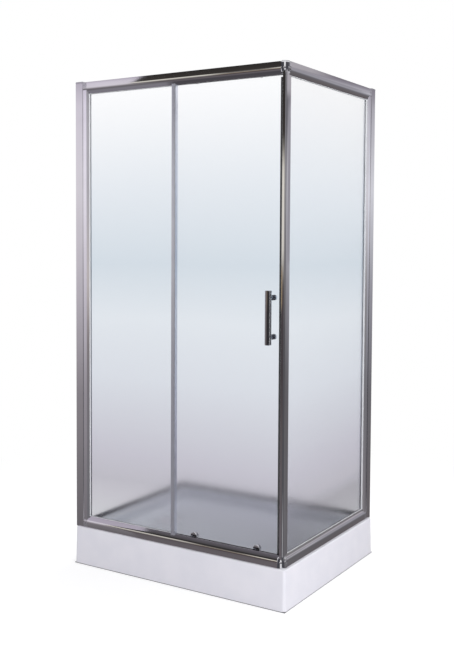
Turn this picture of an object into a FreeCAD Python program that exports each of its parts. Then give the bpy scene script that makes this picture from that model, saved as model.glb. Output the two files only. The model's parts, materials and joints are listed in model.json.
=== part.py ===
import FreeCAD, Part

import math
import os

import Sketcher
from FreeCAD import Placement, Rotation, Vector

# Corner shower enclosure on a low tray. X runs along the front, Y to the back wall, Z up.
# The left wall is at -X and the back wall at +Y. The origin is on the floor under the tray's middle.
# In the profiles, u is the distance in from the frame's outer face and v the height above the tray.

os.makedirs("parts", exist_ok=True)
doc = FreeCAD.newDocument("ShowerEnclosure")

drivingSizes = {
    # tray
    "trayLong": 1000.0,
    "trayWide": 800.0,
    "trayTall": 155.0,
    "trayShell": 5.0,
    "trayCorner": 14.0,
    "skirtLift": 3.0,
    "skirtLean": 1.5,
    "rimWide": 66.0,
    "rimRound": 4.0,
    "basinDeep": 42.0,
    "basinCorner": 60.0,
    "basinLean": 8.0,
    "basinRound": 16.0,
    # waste
    "wasteInset": 200.0,
    "wasteHole": 44.0,
    "wasteRecess": 60.0,
    "recessDeep": 3.0,
    "pipeNotch": 160.0,
    "notchTop": 102.0,
    "wasteBoss": 72.0,
    "bossDeep": 7.0,
    "bossLap": 2.5,
    "sealThick": 2.0,
    "tailPlay": 0.5,
    "flangePlay": 1.0,
    "flangeRim": 2.1,
    "flangeDish": 1.2,
    "flangeBevel": 2.0,
    "trapRadius": 56.0,
    "trapWall": 3.0,
    "trapBottom": 36.0,
    "trapLip": 4.0,
    "trapBend": 8.0,
    "trapNeck": 6.0,
    "trapShelf": 1.0,
    "outletHeight": 62.0,
    "outletRadius": 20.0,
    "outletReach": 130.0,
    "outletThread": 22.0,
    "outletNutLong": 18.0,
    "outletNutGrip": 6.0,
    "outletNutPlay": 0.3,
    "coverRadius": 55.0,
    "coverCrown": 4.0,
    "coverEdge": 1.4,
    "coverLand": 8.0,
    "coverHollow": 14.0,
    "coverSkin": 2.0,
    "coverGap": 0.1,
    # support frame and feet
    "barWide": 30.0,
    "barTall": 20.0,
    "barWall": 2.0,
    "barSide": 150.0,
    "barEnd": 50.0,
    "footEnd": 100.0,
    "footRadius": 25.0,
    "footNeck": 13.75,
    "footThick": 14.0,
    "studRadius": 5.0,
    "nutAcross": 17.0,
    "nutThick": 8.0,
    "boltPlay": 0.4,
    "drillPast": 1.0,
    # frame
    "frameInset": 12.0,
    "frameTop": 2000.0,
    "railTall": 47.0,
    "railDeep": 48.0,
    "topRailDeep": 46.0,
    "railBand": 20.0,
    "railCrest": 11.0,
    "railSkin": 1.8,
    "railFloor": 2.0,
    "chamberSlope": 4.5,
    "ledgePast": 2.0,
    "lipTall": 14.0,
    "topLip": 12.0,
    "glassLine": 17.0,
    "glassThick": 5.0,
    "slotPlay": 2.0,
    "slotDeep": 16.0,
    "slotWall": 1.5,
    "endBlock": 20.0,
    "jointRound": 28.0,
    "jointProud": 0.5,
    "jointCrown": 4.0,
    "crownEdge": 9.0,
    "bandLap": 1.0,
    "domeTip": 6.0,
    "domeStep": 2.0,
    "plinthStop": 0.5,
    "tenonLong": 22.0,
    "tenonPlay": 0.4,
    # uprights
    "channelReach": 36.0,
    "channelDeep": 30.0,
    "channelWall": 1.6,
    "capThick": 8.0,
    "capRound": 3.6,
    "capLap": 0.8,
    "slideGap": 0.3,
    "stileStart": 6.0,
    "stileFlat": 55.0,
    "stileReach": 72.0,
    "postFront": 16.0,
    "postSide": 34.0,
    "postSetback": 8.0,
    "postWall": 2.0,
    "postRound": 6.0,
    "postSlot": 12.0,
    "copePast": 20.0,
    "magnetArm": 8.0,
    "dividerWide": 25.0,
    "dividerRight": -1.0,
    "dividerProud": 8.5,
    "dividerSlot": 15.0,
    "dividerRound": 3.4,
    "wallHoleRadius": 2.5,
    "wallHolesOuter": 1640.0,
    "wallHolesInner": 560.0,
    "screwRadius": 2.0,
    "screwHead": 4.0,
    "headCrown": 3.2,
    "headThick": 2.0,
    "shankPast": 1.0,
    "screwPlay": 0.1,
    "screwFromWall": 21.6,
    "screwSpread": 700.0,
    # door
    "doorLine": 38.5,
    "doorLap": 27.0,
    "doorInset": 38.0,
    "doorFoot": 17.0,
    "doorHead": 15.0,
    "wheelLine": 29.0,
    "wheelWide": 8.8,
    "wheelTread": 9.0,
    "wheelFlange": 11.5,
    "grooveWide": 4.8,
    "grooveLean": 0.4,
    "wheelPlay": 0.3,
    "axleRadius": 3.0,
    "axlePlay": 0.06,
    "pinHead": 4.2,
    "pinHeadThick": 0.8,
    "pinGap": 0.2,
    "ribWide": 4.0,
    "footRib": 12.0,
    "ledgeDrop": 40.0,
    "ledgeThick": 2.0,
    "headRib": 5.0,
    "rearRollerInset": 101.0,
    "frontRollerInset": 94.0,
    "twinSpread": 34.0,
    "carriageLong": 64.0,
    "carriageTall": 30.0,
    "plateThick": 2.0,
    "clampRadius": 6.0,
    "clampHole": 6.4,
    "clampDrop": 33.0,
    "clampCap": 12.0,
    "capDeep": 6.0,
    "capBevel": 2.4,
    "knobHigh": 47.0,
    "knobWide": 30.0,
    "knobTop": 62.0,
    "knobFoot": 40.0,
    "knobDeep": 9.0,
    "knobWall": 1.5,
    "knobBevel": 1.2,
    "knobHole": 10.0,
    "bushRadius": 9.7,
    "bushBore": 8.4,
    "clampRing": 14.0,
    "stemRadius": 3.0,
    "buttonRadius": 8.0,
    "buttonDeep": 8.0,
    "buttonBevel": 1.2,
    "sliderGap": 0.2,
    "sliderPast": 2.0,
    "stemPast": 0.5,
    "liftTravel": 5.0,
    "sealClip": 1.6,
    "sealGrip": 8.0,
    "sealGap": 0.3,
    "sealShort": 3.0,
    "sealFoot": 2.0,
    "gasketShort": 1.5,
    "gasketPast": 1.0,
    "magnetThick": 2.1,
    "magnetWide": 12.0,
    "finThick": 1.0,
    "finGap": 1.6,
    "stopLong": 20.0,
    "stopGap": 0.5,
    "stopInset": 74.5,
    # handle
    "handleInset": 35.0,
    "handleBase": 976.0,
    "handleTall": 200.0,
    "handleWide": 20.0,
    "handleDeep": 20.0,
    "handleStand": 25.0,
    "handleSpacing": 145.0,
    "barCorner": 3.0,
    "barBulge": 10.5,
    "barCrown": 9.0,
    "barRound": 2.5,
    "pillarRadius": 7.0,
    "pillarFlange": 10.0,
    "flangeThick": 3.0,
    "pillarNeck": 2.0,
    "washerThick": 1.0,
    "handleStud": 4.0,
    "handleHole": 5.0,
    "handleCapDeep": 12.0,
    "handleCapWall": 3.0,
    "studPlay": 0.2,
}


class Size:
    # A number together with the text that gives it from the sheet's cells.
    def __init__(self, value, text):
        self.value = value
        self.text = text

    def joined(self, other, sign, value):
        return Size(value, f"({self.text} {sign} {asSize(other).text})")

    def __add__(self, other):
        return self.joined(other, "+", self.value + asSize(other).value)

    def __sub__(self, other):
        return self.joined(other, "-", self.value - asSize(other).value)

    def __mul__(self, other):
        return self.joined(other, "*", self.value * asSize(other).value)

    def __truediv__(self, other):
        return self.joined(other, "/", self.value / asSize(other).value)

    def __rsub__(self, other):
        return asSize(other) - self

    def __neg__(self):
        return asSize(0.0) - self


def asSize(number):
    if isinstance(number, Size):
        return number
    return Size(float(number), repr(float(number)))


def fillSheet():
    sheet = doc.addObject("Spreadsheet::Sheet", "Sizes")
    named = {}
    for row, (name, value) in enumerate(drivingSizes.items(), start=1):
        sheet.set(f"A{row}", name)
        sheet.set(f"B{row}", str(value))
        sheet.setAlias(f"B{row}", name)
        named[name] = Size(value, f"Sizes.{name}")
    doc.recompute()
    return named


named = fillSheet()


def size(name):
    return named[name]


# ---- helpers for the feature tree ----


def bind(item, field, amount):
    amount = asSize(amount)
    item.setExpression(field, amount.text)


def newBody(label):
    body = doc.addObject("PartDesign::Body", label)
    body.Label = label
    return body


def originPlane(body, role):
    return [item for item in body.Origin.OriginFeatures if item.Role == role][0]


def newSketch(body, name, role="XY_Plane", lift=0.0):
    sketch = body.newObject("Sketcher::SketchObject", name)
    sketch.AttachmentSupport = [(originPlane(body, role), "")]
    sketch.MapMode = "FlatFace"
    bind(sketch, "AttachmentOffset.Base.z", lift)
    return sketch


def pinPoint(sketch, geometry, end, u, v):
    for kind, amount in (("DistanceX", asSize(u)), ("DistanceY", asSize(v))):
        rule = sketch.addConstraint(Sketcher.Constraint(kind, -1, 1, geometry, end, amount.value))
        sketch.setExpression(f"Constraints[{rule}]", amount.text)


def bindRadius(sketch, geometry, radius):
    rule = sketch.addConstraint(Sketcher.Constraint("Radius", geometry, radius.value))
    sketch.setExpression(f"Constraints[{rule}]", radius.text)


def arcBetween(start, end, radius, leftward):
    # The short arc from start to end whose centre lies to the left or to the right of the chord.
    chord = end - start
    side = Vector(-chord.y, chord.x, 0).normalize() * (1 if leftward else -1)
    rise = math.sqrt(max(radius**2 - (chord.Length / 2) ** 2, 0.0))
    centre = start + chord * 0.5 + side * rise
    circle = Part.Circle(centre, Vector(0, 0, 1), radius)
    first, last = (start, end) if leftward else (end, start)
    angles = [math.atan2(p.y - centre.y, p.x - centre.x) for p in (first, last)]
    return Part.ArcOfCircle(circle, angles[0], angles[1])


def drawLoop(sketch, corners):
    # Each corner is (u, v), or (u, v, radius, "left" or "right") where an arc leads to the next one.
    points = [Vector(asSize(c[0]).value, asSize(c[1]).value, 0) for c in corners]
    sides = []
    for index, corner in enumerate(corners):
        start, end = points[index], points[(index + 1) % len(points)]
        if len(corner) == 2:
            sides.append((sketch.addGeometry(Part.LineSegment(start, end), False), 1, 2))
            continue
        leftward = corner[3] == "left"
        arc = arcBetween(start, end, asSize(corner[2]).value, leftward)
        tail, head = (1, 2) if leftward else (2, 1)
        sides.append((sketch.addGeometry(arc, False), tail, head))
    for index, (geometry, tail, head) in enumerate(sides):
        following = sides[(index + 1) % len(sides)]
        sketch.addConstraint(
            Sketcher.Constraint("Coincident", geometry, head, following[0], following[1])
        )
    for (geometry, tail, head), corner in zip(sides, corners):
        pinPoint(sketch, geometry, tail, corner[0], corner[1])
        if len(corner) > 2:
            bindRadius(sketch, geometry, asSize(corner[2]))


def drawRectangle(sketch, left, low, right, high):
    drawLoop(sketch, [(left, low), (right, low), (right, high), (left, high)])


def drawRounded(sketch, left, low, right, high, radius):
    drawLoop(
        sketch,
        [
            (left + radius, low),
            (right - radius, low, radius, "left"),
            (right, low + radius),
            (right, high - radius, radius, "left"),
            (right - radius, high),
            (left + radius, high, radius, "left"),
            (left, high - radius),
            (left, low + radius, radius, "left"),
        ],
    )


def drawCircle(sketch, u, v, radius):
    radius = asSize(radius)
    centre = Vector(asSize(u).value, asSize(v).value, 0)
    geometry = sketch.addGeometry(Part.Circle(centre, Vector(0, 0, 1), radius.value), False)
    pinPoint(sketch, geometry, 3, u, v)
    bindRadius(sketch, geometry, radius)


def pad(body, sketch, length, reverse=False, lean=None):
    feature = body.newObject("PartDesign::Pad", f"{sketch.Name}Pad")
    feature.Profile = sketch
    bind(feature, "Length", length)
    feature.Reversed = reverse
    if lean is not None:
        bind(feature, "TaperAngle", lean)
    sketch.Visibility = False
    doc.recompute()
    return feature


def pocket(body, sketch, length, reverse=False, lean=None):
    before = body.Shape.Volume
    feature = body.newObject("PartDesign::Pocket", f"{sketch.Name}Pocket")
    feature.Profile = sketch
    bind(feature, "Length", length)
    feature.Reversed = reverse
    if lean is not None:
        bind(feature, "TaperAngle", lean)
    doc.recompute()
    if body.Shape.Volume >= before:
        raise RuntimeError(f"{feature.Name} cuts nothing")
    return feature


def pocketThrough(body, sketch):
    # Cuts right through the body on both sides of the sketch.
    before = body.Shape.Volume
    feature = body.newObject("PartDesign::Pocket", f"{sketch.Name}Pocket")
    feature.Profile = sketch
    feature.Type = "ThroughAll"
    feature.Midplane = True
    doc.recompute()
    if body.Shape.Volume >= before:
        raise RuntimeError(f"{feature.Name} cuts nothing")
    return feature


def revolve(body, sketch, angle=360.0, reverse=False):
    feature = body.newObject("PartDesign::Revolution", f"{sketch.Name}Turn")
    feature.Profile = sketch
    feature.ReferenceAxis = (sketch, ["V_Axis"])
    feature.Angle = angle
    feature.Reversed = reverse
    doc.recompute()
    return feature


def place(item, x, y, z, turn=0.0):
    item.Placement = Placement(Vector(0, 0, 0), Rotation(Vector(0, 0, 1), turn))
    for axis, amount in (("x", x), ("y", y), ("z", z)):
        bind(item, f"Placement.Base.{axis}", amount)


def edgesWhere(shape, test):
    return [f"Edge{n}" for n, edge in enumerate(shape.Edges, start=1) if test(edge)]


def roundEdges(body, radius, test):
    radius = asSize(radius)
    tip = body.Tip
    names = edgesWhere(tip.Shape, test)
    if not names:
        raise RuntimeError(f"no edge to round on {body.Label}")
    feature = body.newObject("PartDesign::Fillet", f"{tip.Name}Round")
    feature.Base = (tip, names)
    bind(feature, "Radius", radius)
    doc.recompute()
    return feature


def bevelEdges(body, wide, test):
    tip = body.Tip
    names = edgesWhere(tip.Shape, test)
    if not names:
        raise RuntimeError(f"no edge to bevel on {body.Label}")
    feature = body.newObject("PartDesign::Chamfer", f"{tip.Name}Bevel")
    feature.Base = (tip, names)
    bind(feature, "Size", wide)
    doc.recompute()
    return feature


def atHeight(level):
    level = asSize(level).value

    def test(edge):
        box = edge.BoundBox
        return abs(box.ZMin - level) < 0.01 and abs(box.ZMax - level) < 0.01

    return test


def group(label, members):
    gathered = doc.addObject("Part::Compound", label)
    gathered.Label = label
    gathered.Links = members
    doc.recompute()
    return gathered


# ---- worked-out places ----

frameRight = size("trayLong") / 2 - size("frameInset")
frameFront = size("frameInset") - size("trayWide") / 2
wallLeft = -(size("trayLong") / 2)
wallBack = size("trayWide") / 2
wasteX = wallLeft + size("wasteInset")
barReach = size("trayLong") / 2 - size("barEnd")
footSpread = size("trayLong") / 2 - size("footEnd")
barSpread = size("trayWide") / 2 - size("barSide")
slotHalf = size("glassThick") / 2 + size("slotPlay")
slotOuter = size("glassLine") - slotHalf
slotInner = size("glassLine") + slotHalf
slotBack = slotInner + size("slotWall")
slotFloor = size("railTall") - size("slotDeep")
wheelOuter = size("wheelLine") - size("wheelWide") / 2
wheelInner = size("wheelLine") + size("wheelWide") / 2
ribOuter = size("wheelLine") - size("ribWide") / 2
ribInner = size("wheelLine") + size("ribWide") / 2
doorOuter = size("doorLine") - size("glassThick") / 2
doorInner = size("doorLine") + size("glassThick") / 2
channelTop = size("frameTop") - size("jointCrown")
uprightFoot = size("trayTall") + size("railBand")
uprightHead = size("frameTop") - size("railBand")
railFoot = size("trayTall")
doorLeft = size("dividerRight") - size("doorLap")
doorRight = frameRight - size("doorInset")
rearRoller = doorLeft + size("rearRollerInset")
frontRoller = doorRight - size("frontRollerInset")
handleAt = doorRight - size("handleInset")
headWheelHigh = (
    size("frameTop") - size("ledgeDrop") + size("headRib") + size("wheelTread") + size("wheelPlay")
)
footWheelHigh = size("trayTall") + size("footRib") + size("wheelTread") + size("wheelPlay")
basinFloor = size("trayTall") - size("basinDeep")
trayUnderside = basinFloor - size("trayShell")
parts = []


def keep(item):
    parts.append(item)
    return item


# ---- tray ----


def buildTray():
    body = newBody("tray")
    halfLong = size("trayLong") / 2
    halfWide = size("trayWide") / 2
    outer = newSketch(body, "TrayOutline", lift=size("skirtLift"))
    drawRounded(outer, -halfLong, -halfWide, halfLong, halfWide, size("trayCorner"))
    pad(body, outer, size("trayTall") - size("skirtLift"), lean=-size("skirtLean"))

    hollow = newSketch(body, "SkirtHollow", lift=size("skirtLift"))
    shell = size("trayShell")
    inner = [halfLong - shell, halfWide - shell]
    drawRounded(
        hollow, -inner[0], -inner[1], inner[0], inner[1], size("trayCorner") - shell
    )
    pocket(body, hollow, trayUnderside - size("skirtLift"), reverse=True, lean=-size("skirtLean"))

    basinX = halfLong - size("rimWide")
    basinY = halfWide - size("rimWide")
    moat = newSketch(body, "RimHollow", lift=trayUnderside)
    drawRounded(
        moat,
        -(inner[0] - shell),
        -(inner[1] - shell),
        inner[0] - shell,
        inner[1] - shell,
        size("trayCorner") - shell,
    )
    island = [basinX + shell, basinY + shell]
    drawRounded(
        moat, -island[0], -island[1], island[0], island[1], size("basinCorner") + shell
    )
    pocket(body, moat, size("basinDeep"), reverse=True)

    # The skirt is open at the left wall, where the waste pipe leaves.
    notch = newSketch(body, "PipeNotch", "YZ_Plane", lift=wallLeft)
    drawRectangle(notch, -(size("pipeNotch") / 2), 0.0, size("pipeNotch") / 2, size("notchTop"))
    pocket(body, notch, size("rimWide") / 2, reverse=True)

    boss = newSketch(body, "WasteBoss", lift=trayUnderside - size("bossDeep"))
    drawCircle(boss, wasteX, 0.0, size("wasteBoss"))
    pad(body, boss, size("bossDeep") + size("bossLap"))

    basin = newSketch(body, "Basin", lift=size("trayTall"))
    drawRounded(basin, -basinX, -basinY, basinX, basinY, size("basinCorner"))
    pocket(body, basin, size("basinDeep"), lean=-size("basinLean"))
    roundEdges(body, size("rimRound"), atHeight(size("trayTall")))
    roundEdges(body, size("basinRound"), atHeight(basinFloor))

    recess = newSketch(body, "WasteRecess", lift=basinFloor)
    drawCircle(recess, wasteX, 0.0, size("wasteRecess"))
    pocket(body, recess, size("recessDeep"))
    hole = newSketch(body, "WasteHole", lift=basinFloor)
    drawCircle(hole, wasteX, 0.0, size("wasteHole"))
    pocket(body, hole, size("basinDeep"))
    return keep(body)


# ---- support frame and feet ----


def tube(label, x, y, z, long, wide, tall, alongX):
    outer = doc.addObject("Part::Box", f"{label}Outer")
    inner = doc.addObject("Part::Box", f"{label}Inner")
    wall = size("barWall")
    spans = (long, wide) if alongX else (wide, long)
    bind(outer, "Length", spans[0])
    bind(outer, "Width", spans[1])
    bind(outer, "Height", tall)
    place(outer, x - spans[0] / 2, y - spans[1] / 2, z)
    trimX = asSize(0.0) if alongX else wall
    trimY = wall if alongX else asSize(0.0)
    bind(inner, "Length", spans[0] - trimX * 2)
    bind(inner, "Width", spans[1] - trimY * 2)
    bind(inner, "Height", tall - wall * 2)
    place(inner, x - spans[0] / 2 + trimX, y - spans[1] / 2 + trimY, z + wall)
    cut = doc.addObject("Part::Cut", f"{label}Tube")
    cut.Base = outer
    cut.Tool = inner
    return cut


def cylinder(label, radius, height, x, y, z):
    item = doc.addObject("Part::Cylinder", label)
    bind(item, "Radius", radius)
    bind(item, "Height", height)
    place(item, x, y, z)
    return item


def footPlaces():
    places = [(asSize(0.0), asSize(0.0))]
    for sideX in (-1, 1):
        for sideY in (-1, 1):
            places.append((footSpread * sideX, barSpread * sideY))
    return places


def buildSupport():
    low = trayUnderside - size("barTall")
    long = barReach * 2
    bars = []
    for number, side in enumerate((-1, 1)):
        bars.append(
            tube(
                f"LongBar{number}",
                asSize(0.0),
                barSpread * side,
                low,
                long,
                size("barWide"),
                size("barTall"),
                True,
            )
        )
    between = barSpread * 2 - size("barWide")
    bars.append(
        tube(
            "CrossBar",
            asSize(0.0),
            asSize(0.0),
            low,
            between,
            size("barWide"),
            size("barTall"),
            False,
        )
    )
    welded = doc.addObject("Part::MultiFuse", "WeldedBars")
    welded.Shapes = bars
    drills = []
    for number, (x, y) in enumerate(footPlaces()):
        radius = size("studRadius") + size("boltPlay")
        start = low - size("drillPast")
        drills.append(cylinder(f"FootDrill{number}", radius, size("barTall") / 2, x, y, start))
    drill = doc.addObject("Part::MultiFuse", "FootDrills")
    drill.Shapes = drills
    frame = doc.addObject("Part::Cut", "support_frame")
    frame.Base = welded
    frame.Tool = drill
    frame.Label = "support_frame"
    doc.recompute()
    keep(frame)

    pads, studs, nuts = [], [], []
    for number, (x, y) in enumerate(footPlaces()):
        base = doc.addObject("Part::Cone", f"FootPad{number}")
        bind(base, "Radius1", size("footRadius"))
        bind(base, "Radius2", size("footNeck"))
        bind(base, "Height", size("footThick"))
        place(base, x, y, 0.0)
        pads.append(base)
        top = low + size("barTall") - size("barWall") * 2
        stud = cylinder(
            f"FootStud{number}", size("studRadius"), top - size("footThick"), x, y, size("footThick")
        )
        studs.append(stud)
        nut = doc.addObject("Part::Prism", f"FootNut{number}Hex")
        nut.Polygon = 6
        bind(nut, "Circumradius", size("nutAcross") / math.sqrt(3))
        bind(nut, "Height", size("nutThick"))
        place(nut, x, y, low - size("nutThick"))
        bore = cylinder(
            f"FootNut{number}Bore",
            size("studRadius") + size("boltPlay") / 2,
            size("nutThick") * 2,
            x,
            y,
            low - size("nutThick") * 1.5,
        )
        cut = doc.addObject("Part::Cut", f"FootNut{number}")
        cut.Base = nut
        cut.Tool = bore
        nuts.append(cut)
    doc.recompute()
    keep(group("foot_pads", pads))
    keep(group("foot_studs", studs))
    keep(group("foot_nuts", nuts))


# ---- waste and trap ----


def spun(label, corners, x, y, z):
    # A ring or disc turned about an upright axis; each corner is (radius, height).
    body = newBody(label)
    sketch = newSketch(body, f"{label}Section", "XZ_Plane")
    drawLoop(sketch, corners)
    revolve(body, sketch)
    place(body, x, y, z)
    return body


def buildWaste():
    x = wasteX
    seat = basinFloor - size("recessDeep")
    bossLow = trayUnderside - size("bossDeep")
    tubeOut = size("wasteHole") - size("tailPlay")
    tubeIn = tubeOut - size("trapWall")
    flangeOut = size("wasteRecess") - size("flangePlay")
    drop = seat - bossLow + size("sealThick") + size("trapWall")
    keep(
        spun(
            "waste_flange",
            [
                (tubeIn, -drop),
                (tubeOut, -drop),
                (tubeOut, 0.0),
                (flangeOut, 0.0),
                (flangeOut - size("flangeBevel"), size("flangeRim")),
                (tubeIn, size("flangeDish")),
            ],
            x,
            0.0,
            seat,
        )
    )
    keep(
        spun(
            "waste_gasket",
            [
                (size("wasteHole") + size("tailPlay"), 0.0),
                (size("trapRadius"), 0.0),
                (size("trapRadius"), size("sealThick")),
                (size("wasteHole") + size("tailPlay"), size("sealThick")),
            ],
            x,
            0.0,
            bossLow - size("sealThick"),
        )
    )
    top = bossLow - size("sealThick")
    body = newBody("trap_body")
    section = newSketch(body, "TrapSection", "XZ_Plane")
    wall = size("trapWall")
    bowl = size("trapRadius") - size("trapLip")
    inside = bowl - wall
    low = size("trapBottom")
    bend = size("trapBend")
    neck = tubeOut + size("tailPlay")
    drawLoop(
        section,
        [
            (0.0, low),
            (bowl - bend, low),
            (bowl, low + bend),
            (bowl, top - size("trapNeck")),
            (size("trapRadius"), top - size("trapLip")),
            (size("trapRadius"), top),
            (neck, top),
            (neck, top - wall - size("trapShelf")),
            (inside, top - size("trapNeck")),
            (inside, low + bend),
            (inside - bend + wall / 2, low + wall),
            (0.0, low + wall),
        ],
    )
    revolve(body, section)
    pipe = newSketch(body, "OutletPipe", "YZ_Plane", lift=-(bowl - wall / 2))
    drawCircle(pipe, 0.0, size("outletHeight"), size("outletRadius"))
    pad(body, pipe, size("outletReach") - bowl + wall / 2, reverse=True)
    thread = newSketch(body, "OutletThread", "YZ_Plane", lift=-(bowl - wall / 2))
    drawCircle(thread, 0.0, size("outletHeight"), size("outletThread"))
    pad(body, thread, size("outletNutLong") + size("tailPlay") + wall / 2, reverse=True)
    bore = newSketch(body, "OutletBore", "YZ_Plane", lift=-size("outletReach") - size("drillPast"))
    drawCircle(bore, 0.0, size("outletHeight"), size("outletRadius") - wall)
    pocket(body, bore, size("outletReach") - bowl + wall * 2 + size("drillPast"), reverse=True)
    place(body, x, 0.0, 0.0)
    keep(body)

    nut = newBody("outlet_nut")
    ring = newSketch(nut, "OutletNutSection", "YZ_Plane")
    grip = size("outletThread") + size("outletNutGrip")
    sides = 12
    corners = []
    for index in range(sides):
        angle = 2 * math.pi * index / sides
        corners.append((grip * math.cos(angle), size("outletHeight") + grip * math.sin(angle)))
    drawLoop(ring, corners)
    drawCircle(ring, 0.0, size("outletHeight"), size("outletThread") + size("outletNutPlay"))
    pad(nut, ring, size("outletNutLong"))
    place(nut, x - bowl - size("outletNutLong") - size("tailPlay"), 0.0, 0.0)
    keep(nut)

    coverOut = size("coverRadius")
    cover = spun(
        "waste_cover",
        [
            (0.0, size("coverCrown") - size("coverSkin")),
            (coverOut - size("coverHollow"), size("coverEdge") - size("coverGap") * 2),
            (coverOut - size("coverLand"), 0.0),
            (coverOut, 0.0),
            (coverOut, size("coverEdge")),
            (0.0, size("coverCrown")),
        ],
        x,
        0.0,
        seat + size("flangeRim") + size("coverGap"),
    )
    keep(cover)


# ---- rails ----

crestHigh = size("railTall") - size("railBand")
crestRadius = (size("railCrest") * size("railCrest") + crestHigh * crestHigh) / (
    size("railCrest") * 2
)


def flipped(corners, up):
    # Turns a profile upside down for the top rail, and keeps each arc on the same side of it.
    if up > 0:
        return corners
    turned = []
    for corner in corners:
        if len(corner) == 2:
            turned.append((corner[0], -asSize(corner[1])))
        else:
            side = "right" if corner[3] == "left" else "left"
            turned.append((corner[0], -asSize(corner[1]), corner[2], side))
    return turned


def slotCorners():
    # Down the outer side of the glass slot and up its inner side, from the rail's crest.
    return [
        (slotBack, size("railTall")),
        (slotInner, size("railTall")),
        (slotInner, slotFloor),
        (slotOuter, slotFloor),
        (slotOuter, size("railTall")),
    ]


def outerFace():
    return [
        (size("railCrest"), size("railTall"), crestRadius, "left"),
        (0.0, size("railBand")),
        (0.0, 0.0),
    ]


def footTrack():
    # Trough, wheel rib and drip lip behind the glass slot of the bottom rail.
    return [
        (size("railDeep"), 0.0),
        (size("railDeep"), size("lipTall")),
        (size("railDeep") - size("railSkin"), size("lipTall")),
        (size("railDeep") - size("railSkin"), size("railFloor")),
        (ribInner, size("railFloor")),
        (ribInner, size("footRib")),
        (ribOuter, size("footRib")),
        (ribOuter, size("railFloor")),
        (slotBack, size("railFloor")),
    ]


def headTrack():
    # Roof, hanging lip and the ledge whose rib carries the top wheels.
    ledgeEnd = ribInner + size("ledgePast")
    drop = size("ledgeDrop")
    return [
        (size("topRailDeep"), 0.0),
        (size("topRailDeep"), size("topLip")),
        (size("topRailDeep") - size("railSkin"), size("topLip")),
        (size("topRailDeep") - size("railSkin"), size("railFloor")),
        (slotBack, size("railFloor")),
        (slotBack, drop),
        (ribOuter, drop),
        (ribOuter, drop - size("headRib")),
        (ribInner, drop - size("headRib")),
        (ribInner, drop),
        (ledgeEnd, drop),
        (ledgeEnd, drop + size("ledgeThick")),
        (slotBack, drop + size("ledgeThick")),
    ]


def chamber():
    # The hollow between the outer face and the slot.
    skin = size("railSkin")
    top = slotFloor - skin
    return [
        (skin, skin),
        (slotInner, skin),
        (slotInner, top),
        (size("chamberSlope"), top),
        (skin, size("railBand")),
    ]


def rail(label, track, up, length, x, y, turn):
    body = newBody(label)
    section = newSketch(body, f"{label}Section", "YZ_Plane")
    drawLoop(section, flipped(outerFace() + track + slotCorners(), up))
    drawLoop(section, flipped(chamber(), up))
    pad(body, section, length)
    level = railFoot if up > 0 else size("frameTop")
    place(body, x, y, level, turn)
    return keep(body)


frontRailLeft = wallLeft + size("channelReach") + size("endBlock")
frontRailRight = frameRight - size("jointRound")
sideRailFront = frameFront + size("jointRound")
sideRailBack = wallBack - size("channelReach") - size("endBlock")


def buildRails():
    frontLong = frontRailRight - frontRailLeft
    sideLong = sideRailBack - sideRailFront
    plain = [(slotBack, 0.0)]
    rail("rail_bottom_front", footTrack(), 1, frontLong, frontRailLeft, frameFront, 0.0)
    rail("rail_top_front", headTrack(), -1, frontLong, frontRailLeft, frameFront, 0.0)
    rail("rail_bottom_side", plain, 1, sideLong, frameRight, sideRailFront, 90.0)
    rail("rail_top_side", plain, -1, sideLong, frameRight, sideRailFront, 90.0)


def buildEndBlocks():
    # Moulded pieces that close the rails against the wall channels.
    rows = (
        ("end_block_bottom_left", 1, wallLeft + size("channelReach"), frameFront, 0.0),
        ("end_block_top_left", -1, wallLeft + size("channelReach"), frameFront, 0.0),
        ("end_block_bottom_back", 1, frameRight, sideRailBack, 90.0),
        ("end_block_top_back", -1, frameRight, sideRailBack, 90.0),
    )
    for label, up, x, y, turn in rows:
        body = newBody(label)
        section = newSketch(body, f"{label}Section", "YZ_Plane")
        corners = outerFace() + [(slotBack, 0.0), (slotBack, size("railTall"))]
        drawLoop(section, flipped(corners, up))
        pad(body, section, size("endBlock"))
        level = railFoot if up > 0 else size("frameTop")
        place(body, x, y, level, turn)
        keep(body)


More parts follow.
